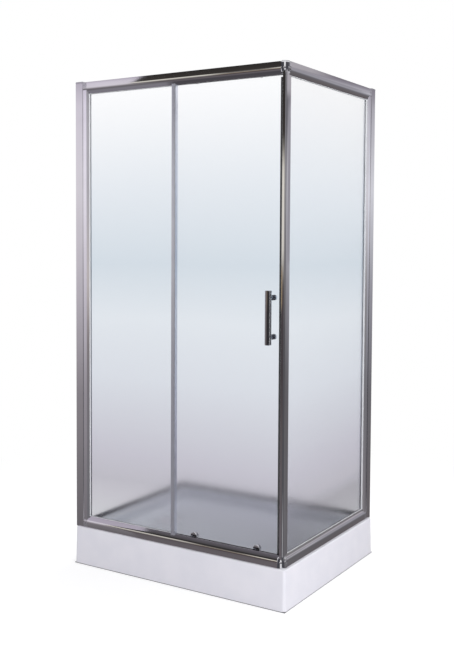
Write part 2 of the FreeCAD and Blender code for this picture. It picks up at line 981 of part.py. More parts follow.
def buildJoiners():
    # A cast corner: a round band, a dome over it, a plinth and peg for the post, a tenon per rail.
    for label, up, crown in (
        ("corner_joiner_bottom", 1, asSize(0.0)),
        ("corner_joiner_top", -1, size("jointCrown")),
    ):
        body = newBody(label)
        band = size("jointRound") + size("jointProud")
        domeFoot = size("railBand") - size("bandLap")
        domeTop = size("railTall")
        domeHigh = domeTop - domeFoot
        shoulder = band - size("domeStep")
        reach = shoulder - size("domeTip")
        domeRadius = (reach * reach + domeHigh * domeHigh) / (reach * 2)
        if crown.value:
            lid = [
                (0.0, -crown),
                (band - size("crownEdge"), -crown, size("jointRound"), "left"),
                (band, crown),
            ]
        else:
            lid = [(0.0, 0.0), (band, 0.0)]
        corners = lid + [
            (band, domeFoot),
            (shoulder, domeFoot, domeRadius, "left"),
            (size("domeTip"), domeTop),
            (0.0, domeTop),
        ]
        section = newSketch(body, f"{label}Section", "XZ_Plane")
        drawLoop(section, flipped(corners, up))
        revolve(body, section, 90.0, reverse=True)

        axis = size("jointRound")
        plinth = newSketch(body, f"{label}Plinth")
        setback = size("postSetback")
        left = axis - setback - size("postFront")
        right = axis - setback
        near = setback - axis
        drawLoop(
            plinth,
            [
                (left, near),
                (right - size("postRound"), near, size("postRound"), "left"),
                (right, near + size("postRound")),
                (right, -size("plinthStop")),
                (left, -size("plinthStop")),
            ],
        )
        pad(body, plinth, size("railTall"), reverse=up < 0)

        play = size("tenonPlay")
        wall = size("postWall")
        gap = wall + play
        pegBend = size("postRound") - gap
        pegFar = near + size("postSide") - size("postSlot") - gap
        peg = newSketch(body, f"{label}Peg", lift=size("railTall") * up)
        drawLoop(
            peg,
            [
                (left + gap, near + gap),
                (right - gap - pegBend, near + gap, pegBend, "left"),
                (right - gap, near + gap + pegBend),
                (right - gap, pegFar),
                (left + gap, pegFar),
            ],
        )
        pad(body, peg, size("tenonLong"), reverse=up < 0)

        skin = size("railSkin")
        tenonIn = skin + play
        tenonOut = slotOuter - skin
        tenonLow = (skin + play) * up
        tenonHigh = (size("railBand") - skin) * up
        low, high = (tenonLow, tenonHigh) if up > 0 else (tenonHigh, tenonLow)
        frontTenon = newSketch(body, f"{label}FrontTenon", "YZ_Plane")
        drawRectangle(frontTenon, tenonIn - axis, low, tenonOut - axis, high)
        pad(body, frontTenon, size("tenonLong"), reverse=True)
        sideTenon = newSketch(body, f"{label}SideTenon", "XZ_Plane")
        drawRectangle(sideTenon, axis - tenonOut, low, axis - tenonIn, high)
        pad(body, sideTenon, size("tenonLong"), reverse=True)
        level = railFoot if up > 0 else size("frameTop")
        place(body, frameRight - axis, frameFront + axis, level)
        keep(body)


# ---- uprights ----


def copeEnds(body, name, role, hand, foot, head):
    # Cuts both ends of an upright to sit on the rails' curved faces.
    outside = -size("copePast")
    past = size("railDeep") + size("copePast")
    for end, up, level in (("Foot", 1, foot), ("Head", -1, head)):
        sketch = newSketch(body, f"{name}{end}Cope", role)
        corners = [
            (size("railCrest"), size("railTall"), crestRadius, "left"),
            (0.0, size("railBand")),
            (outside, size("railBand")),
            (outside, outside),
            (past, outside),
            (past, size("railTall")),
        ]
        shaped = []
        for corner in flipped(corners, up):
            u = asSize(corner[0]) * hand
            v = asSize(corner[1]) + level
            if len(corner) == 2:
                shaped.append((u, v))
            else:
                side = corner[3]
                if hand < 0:
                    side = "right" if side == "left" else "left"
                shaped.append((u, v, corner[2], side))
        drawLoop(sketch, shaped)
        pocketThrough(body, sketch)


def handed(corners, hand):
    # Mirrors a plan profile for the side panel.
    if hand > 0:
        return corners
    turned = []
    for corner in corners:
        if len(corner) == 2:
            turned.append((corner[0], -asSize(corner[1])))
        else:
            side = "right" if corner[3] == "left" else "left"
            turned.append((corner[0], -asSize(corner[1]), corner[2], side))
    return turned


def uprightPlaces():
    # Label end, mirror sign, wall point and turn of each wall side.
    return (
        ("left", 1, wallLeft, frameFront, 0.0),
        ("back", -1, frameRight, wallBack, -90.0),
    )


def buildWallChannels():
    reach, deep, wall = size("channelReach"), size("channelDeep"), size("channelWall")
    for side, hand, x, y, turn in uprightPlaces():
        body = newBody(f"wall_channel_{side}")
        section = newSketch(body, f"Channel{side}Section")
        corners = [
            (0.0, 0.0),
            (reach, 0.0),
            (reach, wall),
            (wall, wall),
            (wall, deep - wall),
            (reach, deep - wall),
            (reach, deep),
            (0.0, deep),
        ]
        drawLoop(section, handed(corners, hand))
        pad(body, section, channelTop - railFoot)
        holes = newSketch(body, f"Channel{side}Holes", "YZ_Plane")
        middle = (channelTop - railFoot) / 2
        for spacing in (size("wallHolesOuter"), size("wallHolesInner")):
            for sign in (-1, 1):
                drawCircle(
                    holes, deep * hand / 2, middle + spacing * sign / 2, size("wallHoleRadius")
                )
        pocket(body, holes, wall * 2, reverse=True)
        addScrewHoles(body, f"Channel{side}", hand, deep - wall * 2, wall * 3, middle)
        place(body, x, y, railFoot, turn)
        keep(body)

        cap = newBody(f"channel_cap_{side}")
        capPlan = newSketch(cap, f"Cap{side}Plan")
        lap = size("capLap")
        edges = [-lap * hand, (deep + lap) * hand]
        low, high = (edges[0], edges[1]) if hand > 0 else (edges[1], edges[0])
        drawRectangle(capPlan, 0.0, low, reach, high)
        pad(cap, capPlan, size("capThick"))
        roundEdges(cap, size("capRound"), atHeight(size("capThick")))
        place(cap, x, y, channelTop, turn)
        keep(cap)


def addScrewHoles(body, name, hand, near, length, middle):
    # Clearance holes for the screws that lock the stile in its channel, drilled from the inside.
    holes = newSketch(body, f"{name}ScrewHoles", "XZ_Plane", lift=-(near * hand))
    for step in (-1, 0, 1):
        drawCircle(
            holes,
            size("screwFromWall"),
            middle + size("screwSpread") * step,
            size("screwRadius") + size("screwPlay"),
        )
    pocket(body, holes, length, reverse=hand < 0)


def buildStiles():
    wall = size("channelWall")
    near = wall + size("slideGap")
    far = size("channelDeep") - wall - size("slideGap")
    flat, reach, start = size("stileFlat"), size("stileReach"), size("stileStart")
    lipOuter = slotOuter - size("slotWall")
    run, fall = reach - flat, lipOuter - near
    curve = (run * run + fall * fall) / (fall * 2)
    pocketEnd = reach - size("postSlot")
    skin = size("railSkin")
    for side, hand, x, y, turn in uprightPlaces():
        body = newBody(f"stile_{side}")
        section = newSketch(body, f"Stile{side}Section")
        corners = [
            (start, near),
            (flat, near, curve, "left"),
            (reach, lipOuter),
            (reach, slotOuter),
            (pocketEnd, slotOuter),
            (pocketEnd, slotInner),
            (reach, slotInner),
            (reach, slotBack),
            (pocketEnd, far),
            (start, far),
        ]
        drawLoop(section, handed(corners, hand))
        hollow = [
            (start + skin, near + skin),
            (flat - skin, near + skin),
            (pocketEnd - skin, slotOuter - skin),
            (pocketEnd - skin, far - skin),
            (start + skin, far - skin),
        ]
        drawLoop(section, handed(hollow, hand))
        pad(body, section, uprightHead - uprightFoot)
        foot = railFoot - uprightFoot
        head = size("frameTop") - uprightFoot
        copeEnds(body, f"Stile{side}", "YZ_Plane", hand, foot, head)
        middle = (channelTop - railFoot) / 2 + railFoot - uprightFoot
        addScrewHoles(body, f"Stile{side}", hand, far - skin * 2, skin * 4, middle)
        place(body, x, y, uprightFoot, turn)
        keep(body)


def buildStileScrews():
    screws = []
    middle = (channelTop - railFoot) / 2 + railFoot
    headFace = size("channelDeep")
    for side, hand, x, y, turn in uprightPlaces():
        for step in (-1, 0, 1):
            body = newBody(f"StileScrew{side}{step + 1}")
            section = newSketch(body, f"StileScrew{side}{step + 1}Section")
            shank = size("channelWall") + size("slideGap") + size("railSkin") + size("shankPast")
            drawLoop(
                section,
                [
                    (0.0, -shank),
                    (size("screwRadius"), -shank),
                    (size("screwRadius"), 0.0),
                    (size("screwHead"), 0.0),
                    (size("headCrown"), size("headThick")),
                    (0.0, size("headThick")),
                ],
            )
            revolve(body, section)
            along = size("screwFromWall")
            level = middle + size("screwSpread") * step
            if hand > 0:
                place(body, x + along, y + headFace, level, 0.0)
            else:
                place(body, x - headFace, y - along, level, 90.0)
            screws.append(body)
    keep(group("stile_screws", screws))


def postCorners():
    left = asSize(0.0)
    right = size("postFront")
    near = asSize(0.0)
    far = size("postSide")
    slotFar = far - size("postSlot")
    wallIn = size("postWall")
    slotLeft = size("postSetback") + size("postFront") - slotInner
    slotRight = size("postSetback") + size("postFront") - slotOuter
    bend = size("postRound")
    return [
        (left, near),
        (right - bend, near, bend, "left"),
        (right, near + bend),
        (right, far),
        (slotRight, far),
        (slotRight, slotFar),
        (slotLeft, slotFar),
        (slotLeft, far + size("magnetArm")),
        (left, far + size("magnetArm")),
    ]


def buildPost():
    body = newBody("corner_post")
    section = newSketch(body, "PostSection")
    drawLoop(section, postCorners())
    wall = size("postWall")
    far = size("postSide") - size("postSlot") - wall
    bend = size("postRound") - wall
    right = size("postFront") - wall
    drawLoop(
        section,
        [
            (wall, wall),
            (right - bend, wall, bend, "left"),
            (right, wall + bend),
            (right, far),
            (wall, far),
        ],
    )
    pad(body, section, size("frameTop") - size("railTall") * 2 - railFoot)
    x = frameRight - size("postSetback") - size("postFront")
    place(body, x, frameFront + size("postSetback"), railFoot + size("railTall"))
    return keep(body)


def buildDivider():
    # The chrome upright on the free edge of the fixed front glass.
    body = newBody("divider_upright")
    section = newSketch(body, "DividerSection")
    wide = size("dividerWide")
    front = size("glassLine") - size("glassThick") / 2 - size("dividerProud")
    bevel = size("dividerRound")
    slotEnd = size("dividerSlot")
    wall = size("postWall")
    drawLoop(
        section,
        [
            (bevel, front),
            (wide - bevel, front, bevel, "left"),
            (wide, front + bevel),
            (wide, slotBack),
            (0.0, slotBack),
            (0.0, slotInner),
            (slotEnd, slotInner),
            (slotEnd, slotOuter),
            (0.0, slotOuter),
            (0.0, front + bevel, bevel, "left"),
        ],
    )
    drawRectangle(section, slotEnd + wall, front + wall, wide - wall, slotBack - wall)
    pad(body, section, uprightHead - uprightFoot)
    foot = railFoot - uprightFoot
    head = size("frameTop") - uprightFoot
    copeEnds(body, "Divider", "YZ_Plane", 1, foot, head)
    place(body, size("dividerRight") - wide, frameFront, uprightFoot)
    return keep(body)


# ---- fixed glass and its gaskets ----


def pane(label, long, tall, x, y, z, turn):
    item = doc.addObject("Part::Box", label)
    item.Label = label
    bind(item, "Length", long)
    bind(item, "Width", size("glassThick"))
    bind(item, "Height", tall)
    place(item, x, y, z, turn)
    return keep(item)


play = size("slotPlay")
paneLow = railFoot + slotFloor + play
paneTall = size("frameTop") - slotFloor - play - paneLow
frontPaneLeft = wallLeft + size("stileReach") - size("postSlot") + play
frontPaneRight = size("dividerRight") - size("dividerWide") + size("dividerSlot") - play
sidePaneFront = frameFront + size("postSetback") + size("postSide") - size("postSlot") + play
sidePaneBack = wallBack - size("stileReach") + size("postSlot") - play
glassHalf = size("glassThick") / 2


def buildFixedGlass():
    pane(
        "fixed_glass_front",
        frontPaneRight - frontPaneLeft,
        paneTall,
        frontPaneLeft,
        frameFront + size("glassLine") - glassHalf,
        paneLow,
        0.0,
    )
    pane(
        "fixed_glass_side",
        sidePaneBack - sidePaneFront,
        paneTall,
        frameRight - size("glassLine") + glassHalf,
        sidePaneFront,
        paneLow,
        90.0,
    )


def gasketSection(sketch, deep, opening):
    # A U that grips the pane; opening is +1 or -1 along the sketch's second axis.
    half = slotHalf
    grip = glassHalf
    corners = [
        (-half, 0.0),
        (half, 0.0),
        (half, deep * opening),
        (grip, deep * opening),
        (grip, play * opening),
        (-grip, play * opening),
        (-grip, deep * opening),
        (-half, deep * opening),
    ]
    drawLoop(sketch, corners)


def flatGasket(name, up, length, x, y, z, turn):
    body = newBody(name)
    section = newSketch(body, f"{name}Section", "YZ_Plane")
    gasketSection(section, size("slotDeep") + size("gasketPast"), up)
    pad(body, section, length)
    place(body, x, y, z, turn)
    return body


def standingGasket(name, opening, deep, length, x, y, z, turn):
    body = newBody(name)
    section = newSketch(body, f"{name}Section")
    gasketSection(section, deep, opening)
    pad(body, section, length)
    place(body, x, y, z, turn)
    return body


def buildGaskets():
    high = size("frameTop") - slotFloor
    low = railFoot + slotFloor
    standLow = railFoot + size("railTall") + size("gasketShort")
    standTall = size("frameTop") - size("railTall") - size("gasketShort") - standLow
    y = frameFront + size("glassLine")
    x = frameRight - size("glassLine")
    paneLong = frontPaneRight - frontPaneLeft
    sideLong = sidePaneBack - sidePaneFront
    slot = size("postSlot")
    keep(
        group(
            "front_gasket",
            [
                flatGasket("FrontFootGasket", 1, paneLong, frontPaneLeft, y, low, 0.0),
                flatGasket("FrontHeadGasket", -1, paneLong, frontPaneLeft, y, high, 0.0),
                standingGasket(
                    "FrontWallGasket", 1, slot, standTall, frontPaneLeft - play, y, standLow, -90.0
                ),
                standingGasket(
                    "FrontEdgeGasket",
                    1,
                    size("dividerSlot"),
                    standTall,
                    frontPaneRight + play,
                    y,
                    standLow,
                    90.0,
                ),
            ],
        )
    )
    keep(
        group(
            "side_gasket",
            [
                flatGasket("SideFootGasket", 1, sideLong, x, sidePaneFront, low, 90.0),
                flatGasket("SideHeadGasket", -1, sideLong, x, sidePaneFront, high, 90.0),
                standingGasket(
                    "SidePostGasket", 1, slot, standTall, x, sidePaneFront - play, standLow, 0.0
                ),
                standingGasket(
                    "SideWallGasket", 1, slot, standTall, x, sidePaneBack + play, standLow, 180.0
                ),
            ],
        )
    )


# ---- door glass and its edge seals ----

doorLow = railFoot + size("doorFoot")
doorHigh = size("frameTop") - size("doorHead")
clampHigh = size("frameTop") - size("clampDrop")
knobHigh = railFoot + size("knobHigh")
handleMiddle = size("handleBase") + size("handleTall") / 2


def handleLevels():
    return [handleMiddle + size("handleSpacing") * sign / 2 for sign in (-1, 1)]


def buildDoorGlass():
    body = newBody("door_glass")
    sheet = newSketch(body, "DoorGlassSheet", "XZ_Plane")
    drawRectangle(sheet, doorLeft, doorLow, doorRight, doorHigh)
    for x in (rearRoller, frontRoller):
        drawCircle(sheet, x, clampHigh, size("clampHole"))
        drawCircle(sheet, x, knobHigh, size("knobHole"))
    for z in handleLevels():
        drawCircle(sheet, handleAt, z, size("handleHole"))
    pad(body, sheet, size("glassThick"))
    place(body, 0.0, frameFront + doorInner, 0.0)
    return keep(body)


def buildSeals():
    clip = size("sealClip")
    grip = size("sealGrip")
    near = doorOuter - clip
    far = doorInner + clip
    magnetFace = frameRight - size("postSetback") - size("postFront") - size("magnetThick")
    sealHead = size("frameTop") - size("railTall") - size("sealShort")
    tall = sealHead - doorLow
    body = newBody("door_magnet_seal")
    section = newSketch(body, "MagnetSealSection")
    right = magnetFace - size("sealGap")
    drawLoop(
        section,
        [
            (doorRight - grip, near),
            (right, near),
            (right, far),
            (doorRight - grip, far),
            (doorRight - grip, doorInner),
            (doorRight, doorInner),
            (doorRight, doorOuter),
            (doorRight - grip, doorOuter),
        ],
    )
    pad(body, section, tall)
    place(body, 0.0, frameFront, doorLow)
    keep(body)

    rear = newBody("door_rear_seal")
    rearSection = newSketch(rear, "RearSealSection")
    left = doorLeft - clip
    finRoot = left + clip * 2
    finTip = slotBack + size("finGap")
    drawLoop(
        rearSection,
        [
            (left, far),
            (left, near),
            (finRoot, near),
            (finRoot, finTip),
            (finRoot + size("finThick"), finTip),
            (finRoot + size("finThick"), near),
            (doorLeft + grip, near),
            (doorLeft + grip, doorOuter),
            (doorLeft, doorOuter),
            (doorLeft, doorInner),
            (doorLeft + grip, doorInner),
            (doorLeft + grip, far),
        ],
    )
    standLow = railFoot + size("railTall") + size("sealFoot")
    pad(rear, rearSection, sealHead - standLow)
    place(rear, 0.0, frameFront, standLow)
    keep(rear)

    strip = doc.addObject("Part::Box", "post_magnet")
    strip.Label = "post_magnet"
    bind(strip, "Length", size("magnetThick"))
    bind(strip, "Width", size("magnetWide"))
    bind(strip, "Height", tall - size("railTall"))
    place(
        strip,
        magnetFace,
        frameFront + size("doorLine") - size("magnetWide") / 2,
        railFoot + size("railTall"),
    )
    keep(strip)


# ---- rollers ----


def wheelBody(label, x, z):
    # A grooved wheel turned about the front-to-back axis; each corner is (radius, distance in).
    body = newBody(label)
    section = newSketch(body, f"{label}Section")
    half = size("wheelWide") / 2
    groove = size("grooveWide") / 2
    bore = size("axleRadius") + size("axlePlay")
    lean = groove + size("grooveLean")
    drawLoop(
        section,
        [
            (bore, -half),
            (size("wheelFlange"), -half),
            (size("wheelFlange"), -lean),
            (size("wheelTread"), -groove),
            (size("wheelTread"), groove),
            (size("wheelFlange"), lean),
            (size("wheelFlange"), half),
            (bore, half),
        ],
    )
    revolve(body, section)
    place(body, x, frameFront + size("wheelLine"), z)
    return keep(body)


def pinFeature(body, name, x, z, plateFace):
    # A headed pin that stands out of the plate towards the front.
    head = wheelOuter - size("pinGap")
    shaft = newSketch(body, f"{name}Shaft", "XZ_Plane", lift=-plateFace)
    drawCircle(shaft, x, z, size("axleRadius"))
    pad(body, shaft, plateFace - head + size("pinHeadThick"))
    cap = newSketch(body, f"{name}Head", "XZ_Plane", lift=-head)
    drawCircle(cap, x, z, size("pinHead"))
    pad(body, cap, size("pinHeadThick"))


def buildTopCarriages():
    plateNear = doorOuter - size("plateThick")
    half = size("carriageLong") / 2
    for end, x in (("rear", rearRoller), ("front", frontRoller)):
        body = newBody(f"top_carriage_{end}")
        plate = newSketch(body, f"TopCarriage{end}Plate", "XZ_Plane", lift=-doorOuter)
        low = clampHigh - size("clampCap")
        drawRounded(
            plate, x - half, low, x + half, low + size("carriageTall"), size("clampRadius")
        )
        pad(body, plate, size("plateThick"))
        for number, sign in enumerate((-1, 1)):
            pinFeature(
                body,
                f"TopPin{end}{number}",
                x + size("twinSpread") * sign / 2,
                headWheelHigh,
                plateNear,
            )
        boss = newSketch(body, f"TopBoss{end}", "XZ_Plane", lift=-doorOuter)
        drawCircle(boss, x, clampHigh, size("clampRadius"))
        pad(body, boss, size("glassThick"), reverse=True)
        place(body, 0.0, frameFront, 0.0)
        keep(body)

        cap = newBody(f"clamp_cap_{end}")
        section = newSketch(cap, f"ClampCap{end}Section")
        deep = size("capDeep")
        drawLoop(
            section,
            [
                (0.0, 0.0),
                (size("clampCap"), 0.0),
                (size("clampCap"), deep - size("capBevel")),
                (size("clampCap") - size("capBevel"), deep),
                (0.0, deep),
            ],
        )
        revolve(cap, section)
        place(cap, x, frameFront + doorInner, clampHigh)
        keep(cap)

        for number, sign in enumerate((-1, 1)):
            side = ("a", "b")[number]
            wheelBody(
                f"top_wheel_{end}_{side}", x + size("twinSpread") * sign / 2, headWheelHigh
            )


def arched(sketch, x, foot, top, wide):
    # A straight-sided plate with a round head.
    half = wide / 2
    spring = top - half
    drawLoop(
        sketch,
        [
            (x - half, foot),
            (x + half, foot),
            (x + half, spring, half, "left"),
            (x, top, half, "left"),
            (x - half, spring),
        ],
    )


def buildBottomRollers():
    wide = size("knobWide")
    knobFoot = railFoot + size("knobFoot")
    knobTop = railFoot + size("knobTop")
    front = doorOuter - size("knobDeep")
    wall = size("knobWall")
    for end, x in (("rear", rearRoller), ("front", frontRoller)):
        housing = newBody(f"roller_housing_{end}")
        shell = newSketch(housing, f"Housing{end}Shell", "XZ_Plane", lift=-doorOuter)
        arched(shell, x, knobFoot, knobTop, wide)
        pad(housing, shell, size("knobDeep"))
        inside = newSketch(housing, f"Housing{end}Inside", "XZ_Plane", lift=-doorOuter)
        arched(inside, x, knobFoot - size("drillPast"), knobTop - wall, wide - wall * 2)
        pocket(housing, inside, size("knobDeep") - wall, reverse=True)
        bevelEdges(housing, size("knobBevel"), atDepth(front))
        place(housing, 0.0, frameFront, 0.0)
        keep(housing)

        clamp = newBody(f"clamp_ring_{end}")
        bush = newSketch(clamp, f"ClampRing{end}Section")
        lip = doorInner
        drawLoop(
            bush,
            [
                (size("bushBore"), doorOuter),
                (size("bushRadius"), doorOuter),
                (size("bushRadius"), lip),
                (size("clampRing"), lip),
                (size("clampRing"), lip + size("plateThick")),
                (size("bushBore"), lip + size("plateThick")),
            ],
        )
        revolve(clamp, bush)
        place(clamp, x, frameFront, knobHigh)
        keep(clamp)

        slider = newBody(f"roller_slider_{end}")
        plate = newSketch(slider, f"Slider{end}Plate", "XZ_Plane", lift=size("sliderGap") - doorOuter)
        rise = knobHigh - size("liftTravel") / 2
        drawRectangle(
            plate,
            x - size("buttonRadius"),
            footWheelHigh - size("axleRadius") - size("sliderPast"),
            x + size("buttonRadius"),
            rise + size("stemRadius"),
        )
        pad(slider, plate, size("plateThick") - size("sliderGap") * 2)
        plateNear = doorOuter - size("plateThick") + size("sliderGap")
        pinFeature(slider, f"FootPin{end}", x, footWheelHigh, plateNear)
        stem = newSketch(slider, f"Slider{end}Stem", "XZ_Plane", lift=size("stemPast") - doorOuter)
        drawCircle(stem, x, rise, size("stemRadius"))
        reach = size("stemPast") + size("glassThick") + size("plateThick") + size("sealGap")
        pad(slider, stem, reach, reverse=True)
        face = doorInner + size("plateThick") + size("sealGap")
        button = newSketch(slider, f"Slider{end}Button", "XZ_Plane", lift=-face)
        drawCircle(button, x, rise, size("buttonRadius"))
        pad(slider, button, size("buttonDeep"), reverse=True)
        bevelEdges(slider, size("buttonBevel"), atDepth(face + size("buttonDeep")))
        place(slider, 0.0, frameFront, 0.0)
        keep(slider)
        wheelBody(f"bottom_wheel_{end}", x, footWheelHigh)


def atDepth(depth):
    # Edges that lie in the plane at this distance in from the frame's outer face.
    depth = asSize(depth).value

    def test(edge):
        box = edge.BoundBox
        return abs(box.YMin - depth) < 0.01 and abs(box.YMax - depth) < 0.01

    return test


def buildStops():
    # Rubber blocks in the top track that end the carriages' run.
    blocks = []
    low = size("frameTop") - size("ledgeDrop") + size("headRib") + size("wheelPlay")
    high = size("frameTop") - size("railFloor")
    half = size("carriageLong") / 2
    gap = size("stopGap")
    starts = (
        ("Open", frontRailLeft + size("stopInset")),
        ("Shut", frontRoller + half + gap),
    )
    for name, x in starts:
        block = doc.addObject("Part::Box", f"{name}Stop")
        bind(block, "Length", size("stopLong"))
        bind(block, "Width", doorOuter - wheelOuter)
        bind(block, "Height", high - low)
        place(block, x, frameFront + wheelOuter, low)
        blocks.append(block)
    keep(group("door_stops", blocks))


# ---- handle ----


def buildHandle():
    wide, deep = size("handleWide"), size("handleDeep")
    back = doorOuter - size("handleStand")
    front = back - deep
    bar = newBody("handle_bar")
    section = newSketch(bar, "HandleSection")
    half = wide / 2
    corner = size("barCorner")
    bulge = size("barBulge")
    crown = size("barCrown")
    drawLoop(
        section,
        [
            (corner - half, back),
            (-half, back - corner),
            (-half, front + crown, bulge, "left"),
            (0.0, front, bulge, "left"),
            (half, front + crown),
            (half, back - corner),
            (half - corner, back),
        ],
    )
    pad(bar, section, size("handleTall"))
    roundEdges(bar, size("barRound"), atEither(0.0, size("handleTall")))
    place(bar, handleAt, frameFront, size("handleBase"))
    keep(bar)

    washer = size("washerThick")
    washers = []
    for number, z in enumerate(handleLevels()):
        name = ("lower", "upper")[number]
        pillar = newBody(f"handle_pillar_{name}")
        turned = newSketch(pillar, f"Pillar{name}Section")
        flange = doorOuter - washer
        flangeNear = flange - size("flangeThick")
        tip = doorInner + size("handleCapDeep") - size("handleCapWall")
        drawLoop(
            turned,
            [
                (0.0, back),
                (size("pillarRadius"), back),
                (size("pillarRadius"), flangeNear - size("pillarNeck")),
                (size("pillarFlange"), flangeNear),
                (size("pillarFlange"), flange),
                (size("handleStud"), flange),
                (size("handleStud"), tip),
                (0.0, tip),
            ],
        )
        revolve(pillar, turned)
        place(pillar, handleAt, frameFront, z)
        keep(pillar)

        cap = newBody(f"handle_cap_{name}")
        capSection = newSketch(cap, f"HandleCap{name}Section")
        bore = size("handleStud") + size("studPlay")
        start = doorInner + washer
        end = start + size("handleCapDeep")
        capWall = size("handleCapWall")
        drawLoop(
            capSection,
            [
                (bore, start),
                (size("pillarFlange"), start),
                (size("pillarFlange"), end - capWall),
                (size("pillarFlange") - capWall, end),
                (0.0, end),
                (0.0, end - capWall),
                (bore, end - capWall),
            ],
        )
        revolve(cap, capSection)
        place(cap, handleAt, frameFront, z)
        keep(cap)

        for side, depth in (("Out", doorOuter - washer), ("In", doorInner)):
            disc = newBody(f"HandleWasher{name}{side}")
            ring = newSketch(disc, f"HandleWasher{name}{side}Section")
            drawRectangle(ring, bore, depth, size("pillarFlange"), depth + washer)
            revolve(disc, ring)
            place(disc, handleAt, frameFront, z)
            washers.append(disc)
    keep(group("handle_washers", washers))


def atEither(low, high):
    def test(edge):
        return atHeight(low)(edge) or atHeight(high)(edge)

    return test


# ---- build, check and write ----


def checkDocument():
    doc.recompute()
    for item in doc.Objects:
        if "Invalid" in item.State or "Error" in item.State:
            raise RuntimeError(f"{item.Name} failed: {item.State}")
    for item in parts:
        shape = item.Shape
        if shape.isNull() or not shape.isValid() or not shape.Solids:
            raise RuntimeError(f"{item.Label} has no valid solid")


def writeParts():
    for item in parts:
        item.Shape.exportStep(f"parts/{item.Label}.step")
        print(item.Label, len(item.Shape.Solids), round(item.Shape.Volume))


buildTray()
buildSupport()
buildWaste()
buildRails()
buildEndBlocks()
buildJoiners()
buildWallChannels()
buildStiles()
buildStileScrews()
buildPost()
buildDivider()
buildFixedGlass()
buildGaskets()
buildDoorGlass()
buildSeals()
buildTopCarriages()
buildBottomRollers()
buildStops()
buildHandle()
checkDocument()
writeParts()
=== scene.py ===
# Shower enclosure with a sliding door: looks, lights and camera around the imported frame.
import json
import math

import bmesh
import bpy
from mathutils import Matrix, Vector

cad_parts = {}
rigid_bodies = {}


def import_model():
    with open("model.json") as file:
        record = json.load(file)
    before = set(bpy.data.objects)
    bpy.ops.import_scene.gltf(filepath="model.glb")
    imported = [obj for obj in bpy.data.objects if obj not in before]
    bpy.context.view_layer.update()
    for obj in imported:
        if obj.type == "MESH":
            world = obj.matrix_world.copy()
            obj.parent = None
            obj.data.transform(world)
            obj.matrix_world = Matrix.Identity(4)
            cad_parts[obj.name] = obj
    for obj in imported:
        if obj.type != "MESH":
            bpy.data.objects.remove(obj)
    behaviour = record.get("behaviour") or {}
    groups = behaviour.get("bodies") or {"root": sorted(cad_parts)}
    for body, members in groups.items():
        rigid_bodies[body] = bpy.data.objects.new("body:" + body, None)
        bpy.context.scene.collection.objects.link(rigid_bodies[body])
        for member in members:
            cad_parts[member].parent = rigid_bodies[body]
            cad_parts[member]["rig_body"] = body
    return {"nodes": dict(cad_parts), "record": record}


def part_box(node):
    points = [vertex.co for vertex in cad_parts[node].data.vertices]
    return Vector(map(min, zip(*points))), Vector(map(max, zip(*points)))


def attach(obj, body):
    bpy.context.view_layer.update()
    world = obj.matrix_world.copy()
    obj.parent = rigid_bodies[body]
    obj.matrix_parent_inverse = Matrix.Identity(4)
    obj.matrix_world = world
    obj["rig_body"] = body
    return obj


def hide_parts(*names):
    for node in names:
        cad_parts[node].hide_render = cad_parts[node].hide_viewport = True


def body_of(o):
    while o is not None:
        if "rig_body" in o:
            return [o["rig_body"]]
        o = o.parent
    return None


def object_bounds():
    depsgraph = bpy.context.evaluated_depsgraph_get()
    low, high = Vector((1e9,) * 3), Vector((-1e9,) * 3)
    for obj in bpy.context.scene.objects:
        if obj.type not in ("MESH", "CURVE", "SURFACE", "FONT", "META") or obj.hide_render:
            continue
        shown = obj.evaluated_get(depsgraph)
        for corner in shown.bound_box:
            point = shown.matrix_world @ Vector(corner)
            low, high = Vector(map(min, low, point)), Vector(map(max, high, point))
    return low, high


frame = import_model()
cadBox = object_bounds()
scene = bpy.context.scene
slots = {entry["node"]: entry["material_slot"] for entry in frame["record"]["subparts"]}
bodyOf = {node: body_of(frame["nodes"][node])[0] for node in frame["nodes"]}
print("frame loaded:", len(frame["nodes"]), "nodes")


# A socket that does sums: each operator adds one Math node.
class Wire:
    def __init__(self, sheet, socket):
        self.sheet = sheet
        self.socket = socket

    def other(self, name):
        return Wire(self.sheet, self.socket.node.outputs[name])

    def __add__(self, value):
        return self.sheet.maths("ADD", self, value)

    def __radd__(self, value):
        return self.sheet.maths("ADD", value, self)

    def __sub__(self, value):
        return self.sheet.maths("SUBTRACT", self, value)

    def __rsub__(self, value):
        return self.sheet.maths("SUBTRACT", value, self)

    def __mul__(self, value):
        return self.sheet.maths("MULTIPLY", self, value)

    def __rmul__(self, value):
        return self.sheet.maths("MULTIPLY", value, self)

    def __truediv__(self, value):
        return self.sheet.maths("DIVIDE", self, value)

    def __rtruediv__(self, value):
        return self.sheet.maths("DIVIDE", value, self)


